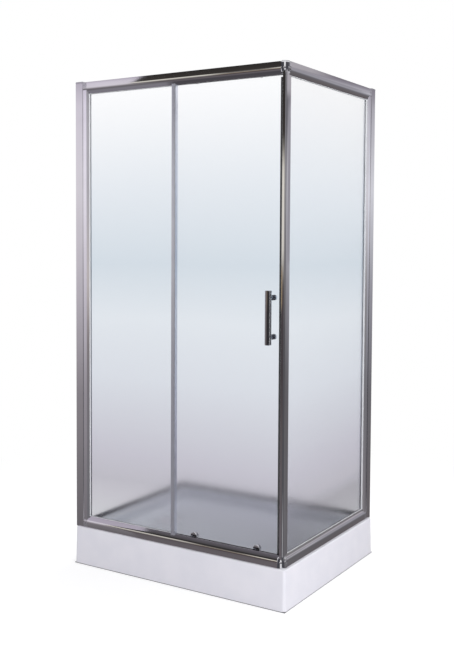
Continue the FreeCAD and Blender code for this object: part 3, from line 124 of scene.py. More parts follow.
# A node tree to write on: one method adds any node, its settings first and then its sockets.
class NodeSheet:
    def __init__(self, tree):
        self.tree = tree

    def node(self, kind, settings=None, values=None, out=0):
        made = self.tree.nodes.new(kind)
        for name, value in (settings or {}).items():
            if name == "stops":
                ramp = made.color_ramp.elements
                while len(ramp) > 1:
                    ramp.remove(ramp[-1])
                for number, (place, colour) in enumerate(value):
                    stop = ramp[0] if number == 0 else ramp.new(place)
                    stop.position = place
                    stop.color = (*colour, 1.0)
            else:
                setattr(made, name, value)
        for name, value in (values or {}).items():
            if isinstance(value, Wire):
                self.tree.links.new(value.socket, made.inputs[name])
            elif isinstance(value, tuple) and len(value) == 3 and made.inputs[name].type == "RGBA":
                made.inputs[name].default_value = (*value, 1.0)
            else:
                made.inputs[name].default_value = value
        return Wire(self, made.outputs[out]) if len(made.outputs) else None

    def maths(self, operation, first, second=0.0):
        return self.node("ShaderNodeMath", {"operation": operation}, {0: first, 1: second})

    def place(self, stretch=(1.0, 1.0, 1.0)):
        here = self.node("ShaderNodeTexCoord", out="Object")
        return self.node("ShaderNodeMapping", None, {"Vector": here, "Scale": stretch})

    def noise(self, vector, scale, detail, rough):
        values = {"Vector": vector, "Scale": scale, "Detail": detail, "Roughness": rough}
        return self.node("ShaderNodeTexNoise", None, values)

    def ramp(self, factor, stops):
        return self.node("ShaderNodeValToRGB", {"stops": stops}, {"Fac": factor})

    def blend(self, factor, first, second):
        settings = {"data_type": "RGBA", "clamp_factor": True}
        return self.node("ShaderNodeMix", settings, {0: factor, 6: first, 7: second}, out=2)

    def span(self, value, low, high, start=0.0, end=1.0):
        values = {0: value, 1: low, 2: high, 3: start, 4: end}
        return self.node("ShaderNodeMapRange", {"clamp": True}, values)

    def bump(self, height, strength, distance):
        values = {"Height": height, "Strength": strength, "Distance": distance}
        return self.node("ShaderNodeBump", None, values)


def addObject(name, data):
    made = bpy.data.objects.new(name, data)
    scene.collection.objects.link(made)
    return made


def newMaterial(name):
    material = bpy.data.materials.new(name)
    material.use_nodes = True
    material.node_tree.nodes.clear()
    return material, NodeSheet(material.node_tree)


def principled(sheet, values):
    shader = sheet.node("ShaderNodeBsdfPrincipled", None, values)
    sheet.node("ShaderNodeOutputMaterial", None, {"Surface": shader})


# In each look a noise is its scale, detail and roughness, and a bump is its strength and distance.
noiseSpan = (0.3, 0.7)  # where most of a noise's values lie
# Grades of drawn metal: clean colour, dull colour, span of roughness and how metallic.
grades = {
    "bright": ((0.81, 0.80, 0.82), (0.76, 0.75, 0.77), (0.02, 0.05), 1.0),
    # A lighter copy of the bright grade: painted light for the stiles.
    "litCopy": ((0.96, 0.95, 0.99), (0.92, 0.91, 0.95), (0.06, 0.10), 1.0),
    "frosted": ((0.95, 0.95, 0.97), (0.91, 0.91, 0.94), (0.30, 0.40), 0.3),
    # A rougher satin finish whose blue cast is a painted reflection of the pale room.
    "satin": ((0.75, 0.77, 0.85), (0.70, 0.72, 0.80), (0.18, 0.26), 0.8),
}


def makeAluminium(name, stretch, grade="bright"):
    # Drawn profile: fine die lines along its length, and a little haze where it was rubbed.
    clean, dull, roughness, metallic = grades[grade]
    look = {
        "lines": (90.0, 4.0, 0.6),
        "haze": (9.0, 5.0, 0.55),
        "hazeShare": 0.7,
        "wear": (0.35, 0.7),
        "bump": (0.12, 0.00004),
    }
    material, sheet = newMaterial(name)
    lines = sheet.noise(sheet.place(stretch), *look["lines"])
    haze = sheet.noise(sheet.place(), *look["haze"])
    share = look["hazeShare"]
    wear = sheet.span(haze * share + lines * (1.0 - share), *look["wear"])
    principled(
        sheet,
        {
            "Base Color": sheet.blend(wear, clean, dull),
            "Metallic": metallic,
            "Roughness": sheet.span(wear, 0.0, 1.0, *roughness),
            "Normal": sheet.bump(lines, *look["bump"]),
        },
    )
    return material


def makeChrome(name, clean, spot):
    # Plated castings: a clear mirror with faint polishing swirls and water spots.
    look = {
        "roughness": (0.02, 0.06),
        "spots": (140.0, 3.0, 0.6),
        "waves": (26.0, 2.0, 0.4),
        "film": (0.52, 0.72),
        "bump": (0.12, 0.0002),
    }
    material, sheet = newMaterial(name)
    spots = sheet.noise(sheet.place(), *look["spots"])
    waves = sheet.noise(sheet.place(), *look["waves"])
    film = sheet.span(spots, *look["film"])
    principled(
        sheet,
        {
            "Base Color": sheet.blend(film, clean, spot),
            "Metallic": 1.0,
            "Roughness": sheet.span(film, 0.0, 1.0, *look["roughness"]),
            "Normal": sheet.bump(waves, *look["bump"]),
        },
    )
    return material


def makeSilverPlastic():
    # Metallised plastic end blocks and caps: softer shine, with the grain of the mould.
    look = {
        "pale": (0.72, 0.71, 0.75),
        "deep": (0.60, 0.59, 0.63),
        "grain": (900.0, 2.0, 0.5),
        "flow": (30.0, 3.0, 0.5),
        "metallic": 0.9,
        "roughness": (0.16, 0.28),
        "coat": 0.3,
        "bump": (0.15, 0.00005),
    }
    material, sheet = newMaterial("silverPlastic")
    grain = sheet.noise(sheet.place(), *look["grain"])
    flow = sheet.noise(sheet.place(), *look["flow"])
    principled(
        sheet,
        {
            "Base Color": sheet.blend(sheet.span(flow, *noiseSpan), look["pale"], look["deep"]),
            "Metallic": look["metallic"],
            "Roughness": sheet.span(grain, *noiseSpan, *look["roughness"]),
            "Coat Weight": look["coat"],
            "Normal": sheet.bump(grain, *look["bump"]),
        },
    )
    return material


def makeAcrylic():
    # The tray: glossy white acrylic, faintly cool, with the soft ripple of a formed sheet.
    look = {
        "pale": (0.84, 0.83, 0.88),
        "cool": (0.80, 0.795, 0.85),
        "basin": (0.84, 0.865, 0.89),
        "basinEdge": (0.486, 0.384, 0.002),  # half its length, half its width, softness
        "ripple": (14.0, 2.0, 0.4),
        "peel": (260.0, 2.0, 0.5),
        "dust": (700.0, 2.0, 0.6),
        "rippleShare": 0.7,
        "shade": (0.35, 0.65),
        "roughness": (0.16, 0.26),
        "coat": 0.5,
        "coatRoughness": 0.06,
        "rippleHeight": 0.8,
        "peelHeight": 0.2,
        "bump": (0.08, 0.0006),
    }
    material, sheet = newMaterial("whiteAcrylic")
    ripple = sheet.noise(sheet.place(), *look["ripple"])
    peel = sheet.noise(sheet.place(), *look["peel"])
    dust = sheet.noise(sheet.place(), *look["dust"])
    share = look["rippleShare"]
    shade = sheet.span(ripple * share + dust * (1.0 - share), *look["shade"])
    outside = sheet.blend(shade, look["pale"], look["cool"])
    # Inside the rim the white turns cooler and greener: a painted tint for the light reaching the basin
    # through the glass.
    x = sheet.node("ShaderNodeSeparateXYZ", None, {"Vector": sheet.place()})
    edgeX, edgeY, fade = look["basinEdge"]
    inX = sheet.span(sheet.maths("ABSOLUTE", x), edgeX - fade, edgeX + fade, 1.0, 0.0)
    inY = sheet.span(sheet.maths("ABSOLUTE", x.other("Y")), edgeY - fade, edgeY + fade, 1.0, 0.0)
    height = ripple * look["rippleHeight"] + peel * look["peelHeight"]
    principled(
        sheet,
        {
            "Base Color": sheet.blend(inX * inY, outside, look["basin"]),
            "Roughness": sheet.span(peel, *noiseSpan, *look["roughness"]),
            "Coat Weight": look["coat"],
            "Coat Roughness": look["coatRoughness"],
            "Normal": sheet.bump(height, *look["bump"]),
        },
    )
    return material


def makeFrostedGlass(name, foot, body):
    # Satin safety glass with a fine etched grain. Its colour is painted: a backdrop seen through it, pale at
    # the top and darker towards the tray, with painted shade at its foot.
    look = {
        # Share of the height, scale of that stop, painted backdrop colour.
        "paintedBackdrop": (
            (0.10, foot, (0.59, 0.59, 0.625)),
            (0.16, foot, (0.54, 0.53, 0.58)),
            (0.19, body, (0.52, 0.51, 0.565)),
            (0.24, body, (0.56, 0.55, 0.62)),
            (0.40, body, (0.70, 0.73, 0.79)),
            (0.52, body, (0.76, 0.80, 0.85)),
            (0.63, body, (0.66, 0.725, 0.79)),
            (0.78, body, (0.79, 0.83, 0.88)),
            (0.97, 1.0, (0.98, 0.985, 1.0)),
        ),
        "height": 2.0,
        "cloud": (2.2, 2.0, 0.5),
        "cloudStretch": (1.0, 1.0, 0.5),
        "cloudDepth": 0.012,
        "grain": (1600.0, 3.0, 0.7),
        "roughness": (0.21, 0.27),
        "bending": 1.18,
        "bump": (0.1, 0.00003),
    }
    stops = [(place, tuple(part * share for part in backdropColour)) for place, share, backdropColour in look["paintedBackdrop"]]
    material, sheet = newMaterial(name)
    here = sheet.node("ShaderNodeTexCoord", out="Object")
    split = sheet.node("ShaderNodeSeparateXYZ", None, {"Vector": here}, out="Z")
    cloud = sheet.noise(sheet.place(look["cloudStretch"]), *look["cloud"])
    level = split / look["height"] + (cloud - 0.5) * look["cloudDepth"]
    grain = sheet.noise(sheet.place(), *look["grain"])
    principled(
        sheet,
        {
            "Base Color": sheet.ramp(level, stops),
            "Roughness": sheet.span(grain, *noiseSpan, *look["roughness"]),
            "IOR": look["bending"],
            "Transmission Weight": 1.0,
            "Normal": sheet.bump(grain, *look["bump"]),
        },
    )
    return material


def makeRubber(name, pale, deep):
    # Matt rubber: a fine grain under slow patches of bloom.
    look = {
        "grain": (600.0, 4.0, 0.6),
        "bloom": (22.0, 3.0, 0.5),
        "roughness": (0.55, 0.75),
        "bump": (0.35, 0.0001),
    }
    material, sheet = newMaterial(name)
    grain = sheet.noise(sheet.place(), *look["grain"])
    bloom = sheet.noise(sheet.place(), *look["bloom"])
    principled(
        sheet,
        {
            "Base Color": sheet.blend(sheet.span(bloom, *noiseSpan), pale, deep),
            "Roughness": sheet.span(grain, *noiseSpan, *look["roughness"]),
            "Normal": sheet.bump(grain, *look["bump"]),
        },
    )
    return material


def makeClearSeal():
    # Soft clear plastic, slightly milky in slow clouds.
    look = {
        "clear": (0.98, 0.985, 0.99),
        "milky": (0.94, 0.95, 0.96),
        "cloud": (40.0, 3.0, 0.5),
        "roughness": (0.14, 0.26),
        "bending": 1.25,
        "clearness": 0.93,
        "bump": (0.1, 0.0002),
    }
    material, sheet = newMaterial("clearSeal")
    cloud = sheet.noise(sheet.place(), *look["cloud"])
    principled(
        sheet,
        {
            "Base Color": sheet.blend(sheet.span(cloud, *noiseSpan), look["clear"], look["milky"]),
            "Roughness": sheet.span(cloud, *noiseSpan, *look["roughness"]),
            "IOR": look["bending"],
            "Transmission Weight": look["clearness"],
            "Normal": sheet.bump(cloud, *look["bump"]),
        },
    )
    return material


def makeZinc():
    # Zinc plate: angular spangle with dull patches.
    look = {
        "light": (0.62, 0.63, 0.65),
        "dark": (0.42, 0.43, 0.45),
        "spangleScale": 120.0,
        "dull": (18.0, 5.0, 0.6),
        "dullShare": 0.5,
        "shade": (0.25, 0.75),
        "metallic": 0.9,
        "roughness": (0.28, 0.5),
        "bump": (0.08, 0.0001),
    }
    material, sheet = newMaterial("zincPlate")
    values = {"Vector": sheet.place(), "Scale": look["spangleScale"]}
    cells = sheet.node("ShaderNodeTexVoronoi", None, values, out="Color")
    cell = sheet.node("ShaderNodeSeparateColor", None, {"Color": cells})
    dull = sheet.noise(sheet.place(), *look["dull"])
    share = look["dullShare"]
    shade = sheet.span(cell * (1.0 - share) + dull * share, *look["shade"])
    principled(
        sheet,
        {
            "Base Color": sheet.blend(shade, look["light"], look["dark"]),
            "Metallic": look["metallic"],
            "Roughness": sheet.span(shade, 0.0, 1.0, *look["roughness"]),
            "Normal": sheet.bump(cell, *look["bump"]),
        },
    )
    return material


def makeMoulded(name, pale, deep, roughness, grainScale):
    # A moulded plastic: fine spark grain and slow changes of shade.
    look = {"grain": (grainScale, 3.0, 0.6), "flow": (35.0, 2.0, 0.5), "bump": (0.25, 0.0001)}
    material, sheet = newMaterial(name)
    grain = sheet.noise(sheet.place(), *look["grain"])
    flow = sheet.noise(sheet.place(), *look["flow"])
    principled(
        sheet,
        {
            "Base Color": sheet.blend(sheet.span(flow, *noiseSpan), pale, deep),
            "Roughness": sheet.span(grain, *noiseSpan, *roughness),
            "Normal": sheet.bump(grain, *look["bump"]),
        },
    )
    return material


# Die lines run along one axis, so a noise is stretched along it.
alongX = (0.02, 12.0, 12.0)
alongY = (12.0, 0.02, 12.0)
alongZ = (12.0, 12.0, 0.02)
brightProfiles = (
    makeAluminium("brightProfileX", alongX),
    makeAluminium("brightProfileY", alongY),
    makeAluminium("brightProfileZ", alongZ),
)
# The stiles take a lighter copy, painted light; the divider a blue cast, painted reflection.
litCopyZ = makeAluminium("litCopyBrightProfileZ", alongZ, "litCopy")
paintedBlueSatinZ = makeAluminium("paintedBlueSatinProfileZ", alongZ, "satin")
wasteSatin = makeAluminium("wasteSatin", (6.0, 6.0, 6.0), "frosted")
# Darker copies of the polished chrome for the handle bar and pillars: painted shade for their dark
# reflections.
shadedHandleChrome = makeChrome("shadedHandleChrome", (0.40, 0.39, 0.40), (0.36, 0.35, 0.37))
shadedPillarChrome = makeChrome("shadedPillarChrome", (0.10, 0.10, 0.12), (0.08, 0.08, 0.10))
zinc = makeZinc()
darkRubber = makeRubber("greyRubber", (0.10, 0.10, 0.11), (0.07, 0.07, 0.08))
paleRubber = makeRubber("paleGasket", (0.86, 0.87, 0.89), (0.80, 0.81, 0.83))
finishes = {
    "white_acrylic": makeAcrylic(),
    "zinc_plated_steel": zinc,
    "black_plastic": makeMoulded(
        "blackPlastic", (0.030, 0.030, 0.032), (0.018, 0.018, 0.02), (0.4, 0.6), 700.0
    ),
    "grey_rubber": darkRubber,
    "white_plastic": makeMoulded(
        "whitePlastic", (0.80, 0.80, 0.80), (0.74, 0.74, 0.73), (0.3, 0.42), 600.0
    ),
    "polished_chrome": makeChrome("polishedChrome", (0.84, 0.84, 0.86), (0.72, 0.72, 0.75)),
    "silver_plastic": makeSilverPlastic(),
    "frosted_glass": makeFrostedGlass("frostedGlass", 1.04, 1.0),
    "clear_pvc": makeClearSeal(),
    "white_nylon": makeMoulded(
        "whiteNylon", (0.80, 0.79, 0.76), (0.74, 0.73, 0.70), (0.32, 0.45), 500.0
    ),
}
# Pieces whose finish differs from the rest of their slot.
ownFinishes = {
    "stile_left": litCopyZ,
    "stile_back": litCopyZ,
    "divider_upright": paintedBlueSatinZ,
    "waste_cover": wasteSatin,
    "waste_flange": wasteSatin,
    "handle_bar": shadedHandleChrome,
    "handle_pillar_lower": shadedPillarChrome,
    "handle_pillar_upper": shadedPillarChrome,
    "front_gasket": paleRubber,
    "side_gasket": paleRubber,
    "post_magnet": paleRubber,
    # The side pane is painted darker at its foot: painted shade for the tray seen through it.
    "fixed_glass_side": makeFrostedGlass("frostedGlassSide", 0.82, 1.04),
}


def finishOf(node):
    if node in ownFinishes:
        return ownFinishes[node]
    if slots[node] != "chromed_aluminium":
        return finishes[slots[node]]
    low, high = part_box(node)
    size = [high[axis] - low[axis] for axis in range(3)]
    return brightProfiles[size.index(max(size))]


print("materials made:", len(bpy.data.materials))


def hand(piece, node, *more):
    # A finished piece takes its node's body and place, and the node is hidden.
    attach(piece, bodyOf[node])
    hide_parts(node, *more)


def shadeByAngle(mesh, degrees):
    limit = math.radians(degrees)
    work = bmesh.new()
    work.from_mesh(mesh)
    for face in work.faces:
        face.smooth = True
    for edge in work.edges:
        edge.smooth = len(edge.link_faces) == 2 and edge.calc_face_angle(0.0) < limit
    work.to_mesh(mesh)
    work.free()


# Doubles nearer than merge and bends under flat degrees go, and edges over sharp degrees are rounded.
dressing = {"merge": 1e-6, "flat": 0.4, "sharp": 32.0, "smallSharp": 35.0, "segments": 2}


def dress(node, rounding):
    # A copy of a CAD node: doubles merged, flat areas made whole, edges rounded.
    source = frame["nodes"][node]
    mesh = source.data.copy()
    mesh.name = node + "_skin"
    mesh.transform(source.matrix_world)
    flat = math.radians(dressing["flat"])
    work = bmesh.new()
    work.from_mesh(mesh)
    bmesh.ops.remove_doubles(work, verts=work.verts, dist=dressing["merge"])
    bmesh.ops.dissolve_limit(
        work, angle_limit=flat, verts=work.verts, edges=work.edges, use_dissolve_boundaries=False
    )
    work.to_mesh(mesh)
    work.free()
    shadeByAngle(mesh, dressing["sharp"])
    mesh.materials.clear()
    mesh.materials.append(finishOf(node))
    piece = addObject(node + "_skin", mesh)
    if rounding:
        bevel = piece.modifiers.new("edges", "BEVEL")
        bevel.width = rounding
        bevel.segments = dressing["segments"]
        bevel.limit_method = "ANGLE"
        bevel.angle_limit = math.radians(dressing["sharp"])
        bevel.harden_normals = True
        bevel.miter_outer = "MITER_ARC"
    hand(piece, node)
    return piece


# How far the edges of each group of pieces are rounded, in metres.
edgeRounding = (
    (0.0012, "tray"),
    (0.0008, "fixed_glass_front fixed_glass_side door_glass"),
    (0.0004, "rail_bottom_front rail_bottom_side rail_top_front rail_top_side"),
    (0.0003, "wall_channel_left wall_channel_back stile_left stile_back"),
    (0.0004, "corner_post"),
    (0.0005, "divider_upright"),
    (0.0006, "corner_joiner_bottom corner_joiner_top"),
    (0.0006, "end_block_bottom_left end_block_top_left end_block_bottom_back end_block_top_back"),
    (0.0005, "channel_cap_left channel_cap_back"),
    (0.0006, "handle_pillar_lower handle_pillar_upper handle_cap_lower handle_cap_upper"),
    (0.0004, "top_carriage_rear top_carriage_front clamp_cap_rear clamp_cap_front"),
    (0.0004, "roller_housing_rear roller_housing_front"),
    (0.0003, "clamp_ring_rear clamp_ring_front roller_slider_rear roller_slider_front"),
    (0.0006, "support_frame"),
    (0.0008, "foot_pads"),
    (0.0003, "foot_nuts"),
    (0.0004, "waste_flange"),
    (0.0005, "waste_cover"),
    (0.0008, "trap_body"),
    (0.0006, "outlet_nut"),
)
stileShape = {
    "arcStart": 0.055,  # from the wall to where the lip starts to curve
    "arcRadius": 0.0205,
    "near": 0.0006,  # a point this near the arc lies on the front lip
    "trim": 0.007,
    "sealLap": 0.002,
    "sealFrom": 0.009,
    "end": 0.0003,
    "sharp": 12.0,
}
dividerShape = {"narrow": 0.76}
# The gaskets' edges follow the trimmed lips: axis, where the edge lies and how far it moves.
gasketEdges = {
    "front_gasket": ((0, (-0.436, -0.420), -0.0065), (0, (-0.0285, -0.0235), 0.0028)),
    "side_gasket": ((1, (0.320, 0.336), 0.0065),),
}


def flattenLip(mesh, across, wall, inward, front):
    # The stile's curved outer lip becomes one short plane; the lip behind the glass gets its pale wedge seal.
    reach = max(abs(vertex.co[across] - wall) for vertex in mesh.vertices)
    start, radius = stileShape["arcStart"], stileShape["arcRadius"]
    span = reach - start
    drop = radius - math.sqrt(radius * radius - span * span)
    deep = 1 - across
    for vertex in mesh.vertices:
        along = abs(vertex.co[across] - wall) - start
        if along <= 0.0:
            continue
        arc = radius - math.sqrt(radius * radius - along * along)
        cut = along / span * stileShape["trim"]
        if abs(abs(vertex.co[deep] - front) - arc) < stileShape["near"]:
            vertex.co[deep] = front + inward * (along - cut) / span * drop
        vertex.co[across] -= math.copysign(cut, vertex.co[across] - wall)
    reach -= stileShape["trim"]
    mesh.materials.append(paleRubber)
    for face in mesh.polygons:
        along = abs(face.center[across] - wall)
        behind = abs(face.center[deep] - front) > stileShape["sealFrom"]
        if (behind and along > start - stileShape["sealLap"]) or along > reach - stileShape["end"]:
            face.material_index = 1
    shadeByAngle(mesh, stileShape["sharp"])


for rounding, names in edgeRounding:
    for node in names.split():
        piece = dress(node, rounding)
        if node == "stile_left":
            flattenLip(piece.data, 0, cadBox[0][0], 1.0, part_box(node)[0][1])
        if node == "stile_back":
            flattenLip(piece.data, 1, cadBox[1][1], -1.0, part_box(node)[1][0])
        if node == "divider_upright":
            middle = (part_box(node)[0][0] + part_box(node)[1][0]) / 2
            for vertex in piece.data.vertices:
                vertex.co.x = middle + (vertex.co.x - middle) * dividerShape["narrow"]
for node, edges in gasketEdges.items():
    piece = dress(node, 0.0)
    for axis, (low, high), shift in edges:
        for vertex in piece.data.vertices:
            if low < vertex.co[axis] < high:
                vertex.co[axis] += shift
# These keep the CAD mesh and get only their finish.
for node in (
    "waste_gasket",
    "post_magnet",
    "door_stops",
    "door_magnet_seal",
    "door_rear_seal",
    "handle_washers",
):
    frame["nodes"][node].material_slots[0].material = finishOf(node)
print("pieces dressed")


def lathe(name, section, centre, steps, material):
    # A closed section of (radius, along) turned about a line along Y through the centre.
    mesh = bpy.data.meshes.new(name)
    points, faces = [], []
    for step in range(steps):
        angle = 2.0 * math.pi * step / steps
        for radius, along in section:
            points.append(
                (
                    centre[0] + radius * math.cos(angle),
                    centre[1] + along,
                    centre[2] + radius * math.sin(angle),
                )
            )
    count = len(section)
    for step in range(steps):
        ahead = (step + 1) % steps
        for number in range(count):
            after = (number + 1) % count
            faces.append(
                (step * count + number, step * count + after, ahead * count + after, ahead * count + number)
            )
    mesh.from_pydata(points, [], faces)
    work = bmesh.new()
    work.from_mesh(mesh)
    bmesh.ops.recalc_face_normals(work, faces=work.faces)
    work.to_mesh(mesh)
    work.free()
    shadeByAngle(mesh, dressing["smallSharp"])
    mesh.materials.append(material)
    return addObject(name, mesh)


wheelShape = {
    "treadRadius": 0.009,
    "steps": 56,
    "chamfer": 0.0005,
    # Steps of the side from the bore out: radius, and depth below the rim.
    "side": (
        (0.00305, 0.0002),
        (0.0048, 0.0002),
        (0.0051, 0.0010),
        (0.0076, 0.0010),
        (0.0080, 0.0001),
    ),
    # The rim's corners, in chamfers: below the rim's radius, and below its side.
    "corners": ((1.6, 0.0), (0.5, 0.4), (0.0, 1.3), (0.3, 2.2)),
    # The groove's wall: height over the tread, and share of half the width.
    "groove": ((0.0009, 0.44), (0.0002, 0.38), (0.0, 0.30)),
}
for node in [label for label in frame["nodes"] if "_wheel_" in label]:
    low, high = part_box(node)
    centre = [(low[axis] + high[axis]) / 2 for axis in range(3)]
    rim = (high[2] - low[2]) / 2
    half = (high[1] - low[1]) / 2
    tread, cut = wheelShape["treadRadius"], wheelShape["chamfer"]
    upper = [(radius, half - deep) for radius, deep in wheelShape["side"]]
    upper += [(rim - cut * short, half - cut * deep) for short, deep in wheelShape["corners"]]
    upper += [(tread + over, half * share) for over, share in wheelShape["groove"]]
    section = upper + [(radius, -along) for radius, along in reversed(upper)]
    hand(lathe(node + "_tyre", section, centre, wheelShape["steps"], finishOf(node)), node)
print("wheels turned")


# Geometry Nodes make the studs, the screws and the strips.
def newTree(name, inputs):
    # Every named input is a length with its default, or None for a material.
    tree = bpy.data.node_groups.new(name, "GeometryNodeTree")
    tree.interface.new_socket("Geometry", in_out="INPUT", socket_type="NodeSocketGeometry")
    for label, value in inputs.items():
        kind = "NodeSocketMaterial" if value is None else "NodeSocketFloat"
        socket = tree.interface.new_socket(label, in_out="INPUT", socket_type=kind)
        if value is not None:
            socket.default_value = value
    tree.interface.new_socket("Geometry", in_out="OUTPUT", socket_type="NodeSocketGeometry")
    sheet = NodeSheet(tree)
    start = sheet.node("NodeGroupInput")
    return tree, sheet, start


def endTree(sheet, shape, material):
    whole = sheet.node("GeometryNodeRealizeInstances", None, {0: shape})
    painted = sheet.node("GeometryNodeSetMaterial", None, {"Geometry": whole, "Material": material})
    sheet.node("NodeGroupOutput", None, {0: painted})


def grow(name, tree, points, inputs, facing=None, edges=()):
    # Runs a tree on a mesh of points, then keeps the result as a plain mesh.
    mesh = bpy.data.meshes.new(name)
    mesh.from_pydata(points, edges, [])
    if facing:
        turned = mesh.attributes.new("facing", "FLOAT_VECTOR", "POINT")
        for number, vector in enumerate(facing):
            turned.data[number].vector = vector
    piece = addObject(name, mesh)
    modifier = piece.modifiers.new("grow", "NODES")
    modifier.node_group = tree
    for item in tree.interface.items_tree:
        if item.in_out == "INPUT" and item.name in inputs:
            modifier[item.identifier] = inputs[item.name]
    piece.update_tag()
    graph = bpy.context.evaluated_depsgraph_get()
    shape = bpy.data.meshes.new_from_object(piece.evaluated_get(graph))
    shape.name = name
    piece.modifiers.clear()
    piece.data = shape
    shadeByAngle(shape, dressing["smallSharp"])
    return piece


def islands(node):
    # The low and high corners of each loose part of a CAD node.
    work = bmesh.new()
    work.from_mesh(frame["nodes"][node].data)
    bmesh.ops.remove_doubles(work, verts=work.verts, dist=dressing["merge"])
    boxes, seen = [], set()
    for vertex in work.verts:
        if vertex.index in seen:
            continue
        reach, part = [vertex], []
        seen.add(vertex.index)
        while reach:
            here = reach.pop()
            part.append(here.co.copy())
            for edge in here.link_edges:
                there = edge.other_vert(here)
                if there.index not in seen:
                    seen.add(there.index)
                    reach.append(there)
        low = Vector([min(point[axis] for point in part) for axis in range(3)])
        high = Vector([max(point[axis] for point in part) for axis in range(3)])
        boxes.append((low, high))
    work.free()
    return boxes


studInputs = {
    "Crest Radius": 0.005,
    "Thread Depth": 0.0006,
    "Pitch": 0.0015,
    "Length": 0.09,
    "Material": None,
}


def studTree():
    # A plain core with a ridge wound round it, one pitch short at each end.
    tree, sheet, start = newTree("footStudTree", studInputs)
    crest, depth, pitch, length = (start.other(name) for name in list(studInputs)[:4])
    root = crest - depth
    wound = length - pitch * 2.0
    core = sheet.node("GeometryNodeMeshCylinder", None, {"Vertices": 20, "Radius": root, "Depth": length})
    rise = sheet.node("ShaderNodeCombineXYZ", None, {"Z": length / 2.0})
    core = sheet.node("GeometryNodeTransform", None, {"Geometry": core, "Translation": rise})
    values = {"Start Radius": root, "End Radius": root, "Height": wound}
    values.update({"Resolution": 16, "Rotations": wound / pitch})
    path = sheet.node("GeometryNodeCurveSpiral", None, values)
    upright = sheet.node("GeometryNodeSetCurveNormal", {"mode": "Z_UP"}, {"Curve": path})
    ridge = sheet.node("GeometryNodeCurvePrimitiveCircle", None, {"Resolution": 4, "Radius": depth})
    thread = sheet.node(
        "GeometryNodeCurveToMesh", None, {"Curve": upright, "Profile Curve": ridge, "Fill Caps": True}
    )
    lift = sheet.node("ShaderNodeCombineXYZ", None, {"Z": pitch})
    thread = sheet.node("GeometryNodeTransform", None, {"Geometry": thread, "Translation": lift})
    stud = sheet.node("GeometryNodeJoinGeometry", None, {0: thread})
    sheet.tree.links.new(core.socket, stud.socket.node.inputs[0])
    copies = sheet.node("GeometryNodeInstanceOnPoints", None, {"Points": start, "Instance": stud})
    endTree(sheet, copies, start.other("Material"))
    return tree


screwInputs = {
    "Head Radius": 0.004,
    "Head Height": 0.002,
    "Shank Radius": 0.002,
    "Shank Length": 0.006,
    "Slot Width": 0.0010,
    "Material": None,
}
# Shares: how far the head draws in at its top, the slots' reach of its radius and depth of its height.
screwShape = {"dome": 0.32, "slotReach": 1.15, "slotDepth": 1.1}


def screwTree():
    # A pan head with a cross recess and a plain shank behind it.
    tree, sheet, start = newTree("crossScrewTree", screwInputs)
    sizes = (start.other(name) for name in list(screwInputs)[:5])
    headRadius, headHeight, shankRadius, shankLength, slotWidth = sizes
    head = sheet.node(
        "GeometryNodeMeshCylinder",
        {"fill_type": "NGON"},
        {"Vertices": 28, "Side Segments": 4, "Radius": headRadius, "Depth": headHeight},
    )
    lift = sheet.node("ShaderNodeCombineXYZ", None, {"Z": headHeight / 2.0})
    head = sheet.node("GeometryNodeTransform", None, {"Geometry": head, "Translation": lift})
    spot = sheet.node("GeometryNodeInputPosition")
    high = sheet.node("ShaderNodeSeparateXYZ", None, {"Vector": spot}, out="Z") / headHeight
    shrink = 1.0 - high * high * high * screwShape["dome"]
    sides = sheet.node("ShaderNodeCombineXYZ", None, {"X": shrink, "Y": shrink, "Z": 1.0})
    domed = sheet.node("ShaderNodeVectorMath", {"operation": "MULTIPLY"}, {0: spot, 1: sides})
    head = sheet.node("GeometryNodeSetPosition", None, {"Geometry": head, "Position": domed})
    reach = headRadius * screwShape["slotReach"]
    deep = headHeight * screwShape["slotDepth"]
    up = sheet.node("ShaderNodeCombineXYZ", None, {"Z": headHeight})
    for long, wide in ((reach, slotWidth), (slotWidth, reach)):
        size = sheet.node("ShaderNodeCombineXYZ", None, {"X": long, "Y": wide, "Z": deep})
        blade = sheet.node("GeometryNodeMeshCube", None, {"Size": size})
        blade = sheet.node("GeometryNodeTransform", None, {"Geometry": blade, "Translation": up})
        values = {"Mesh 1": head, "Mesh 2": blade}
        head = sheet.node("GeometryNodeMeshBoolean", {"operation": "DIFFERENCE", "solver": "EXACT"}, values)
    values = {"Vertices": 16, "Radius": shankRadius, "Depth": shankLength}
    shank = sheet.node("GeometryNodeMeshCylinder", None, values)
    sink = sheet.node("ShaderNodeCombineXYZ", None, {"Z": shankLength * -0.5})
    shank = sheet.node("GeometryNodeTransform", None, {"Geometry": shank, "Translation": sink})
    screw = sheet.node("GeometryNodeJoinGeometry", None, {0: shank})
    sheet.tree.links.new(head.socket, screw.socket.node.inputs[0])
    values = {"Name": "facing"}
    aim = sheet.node("GeometryNodeInputNamedAttribute", {"data_type": "FLOAT_VECTOR"}, values)
    turn = sheet.node("FunctionNodeAlignRotationToVector", {"axis": "Z"}, {"Vector": aim})
    values = {"Points": start, "Instance": screw, "Rotation": turn}
    endTree(sheet, sheet.node("GeometryNodeInstanceOnPoints", None, values), start.other("Material"))
    return tree


stripInputs = {"Width": 0.012, "Height": 0.012, "Rounding": 0.002, "Material": None}


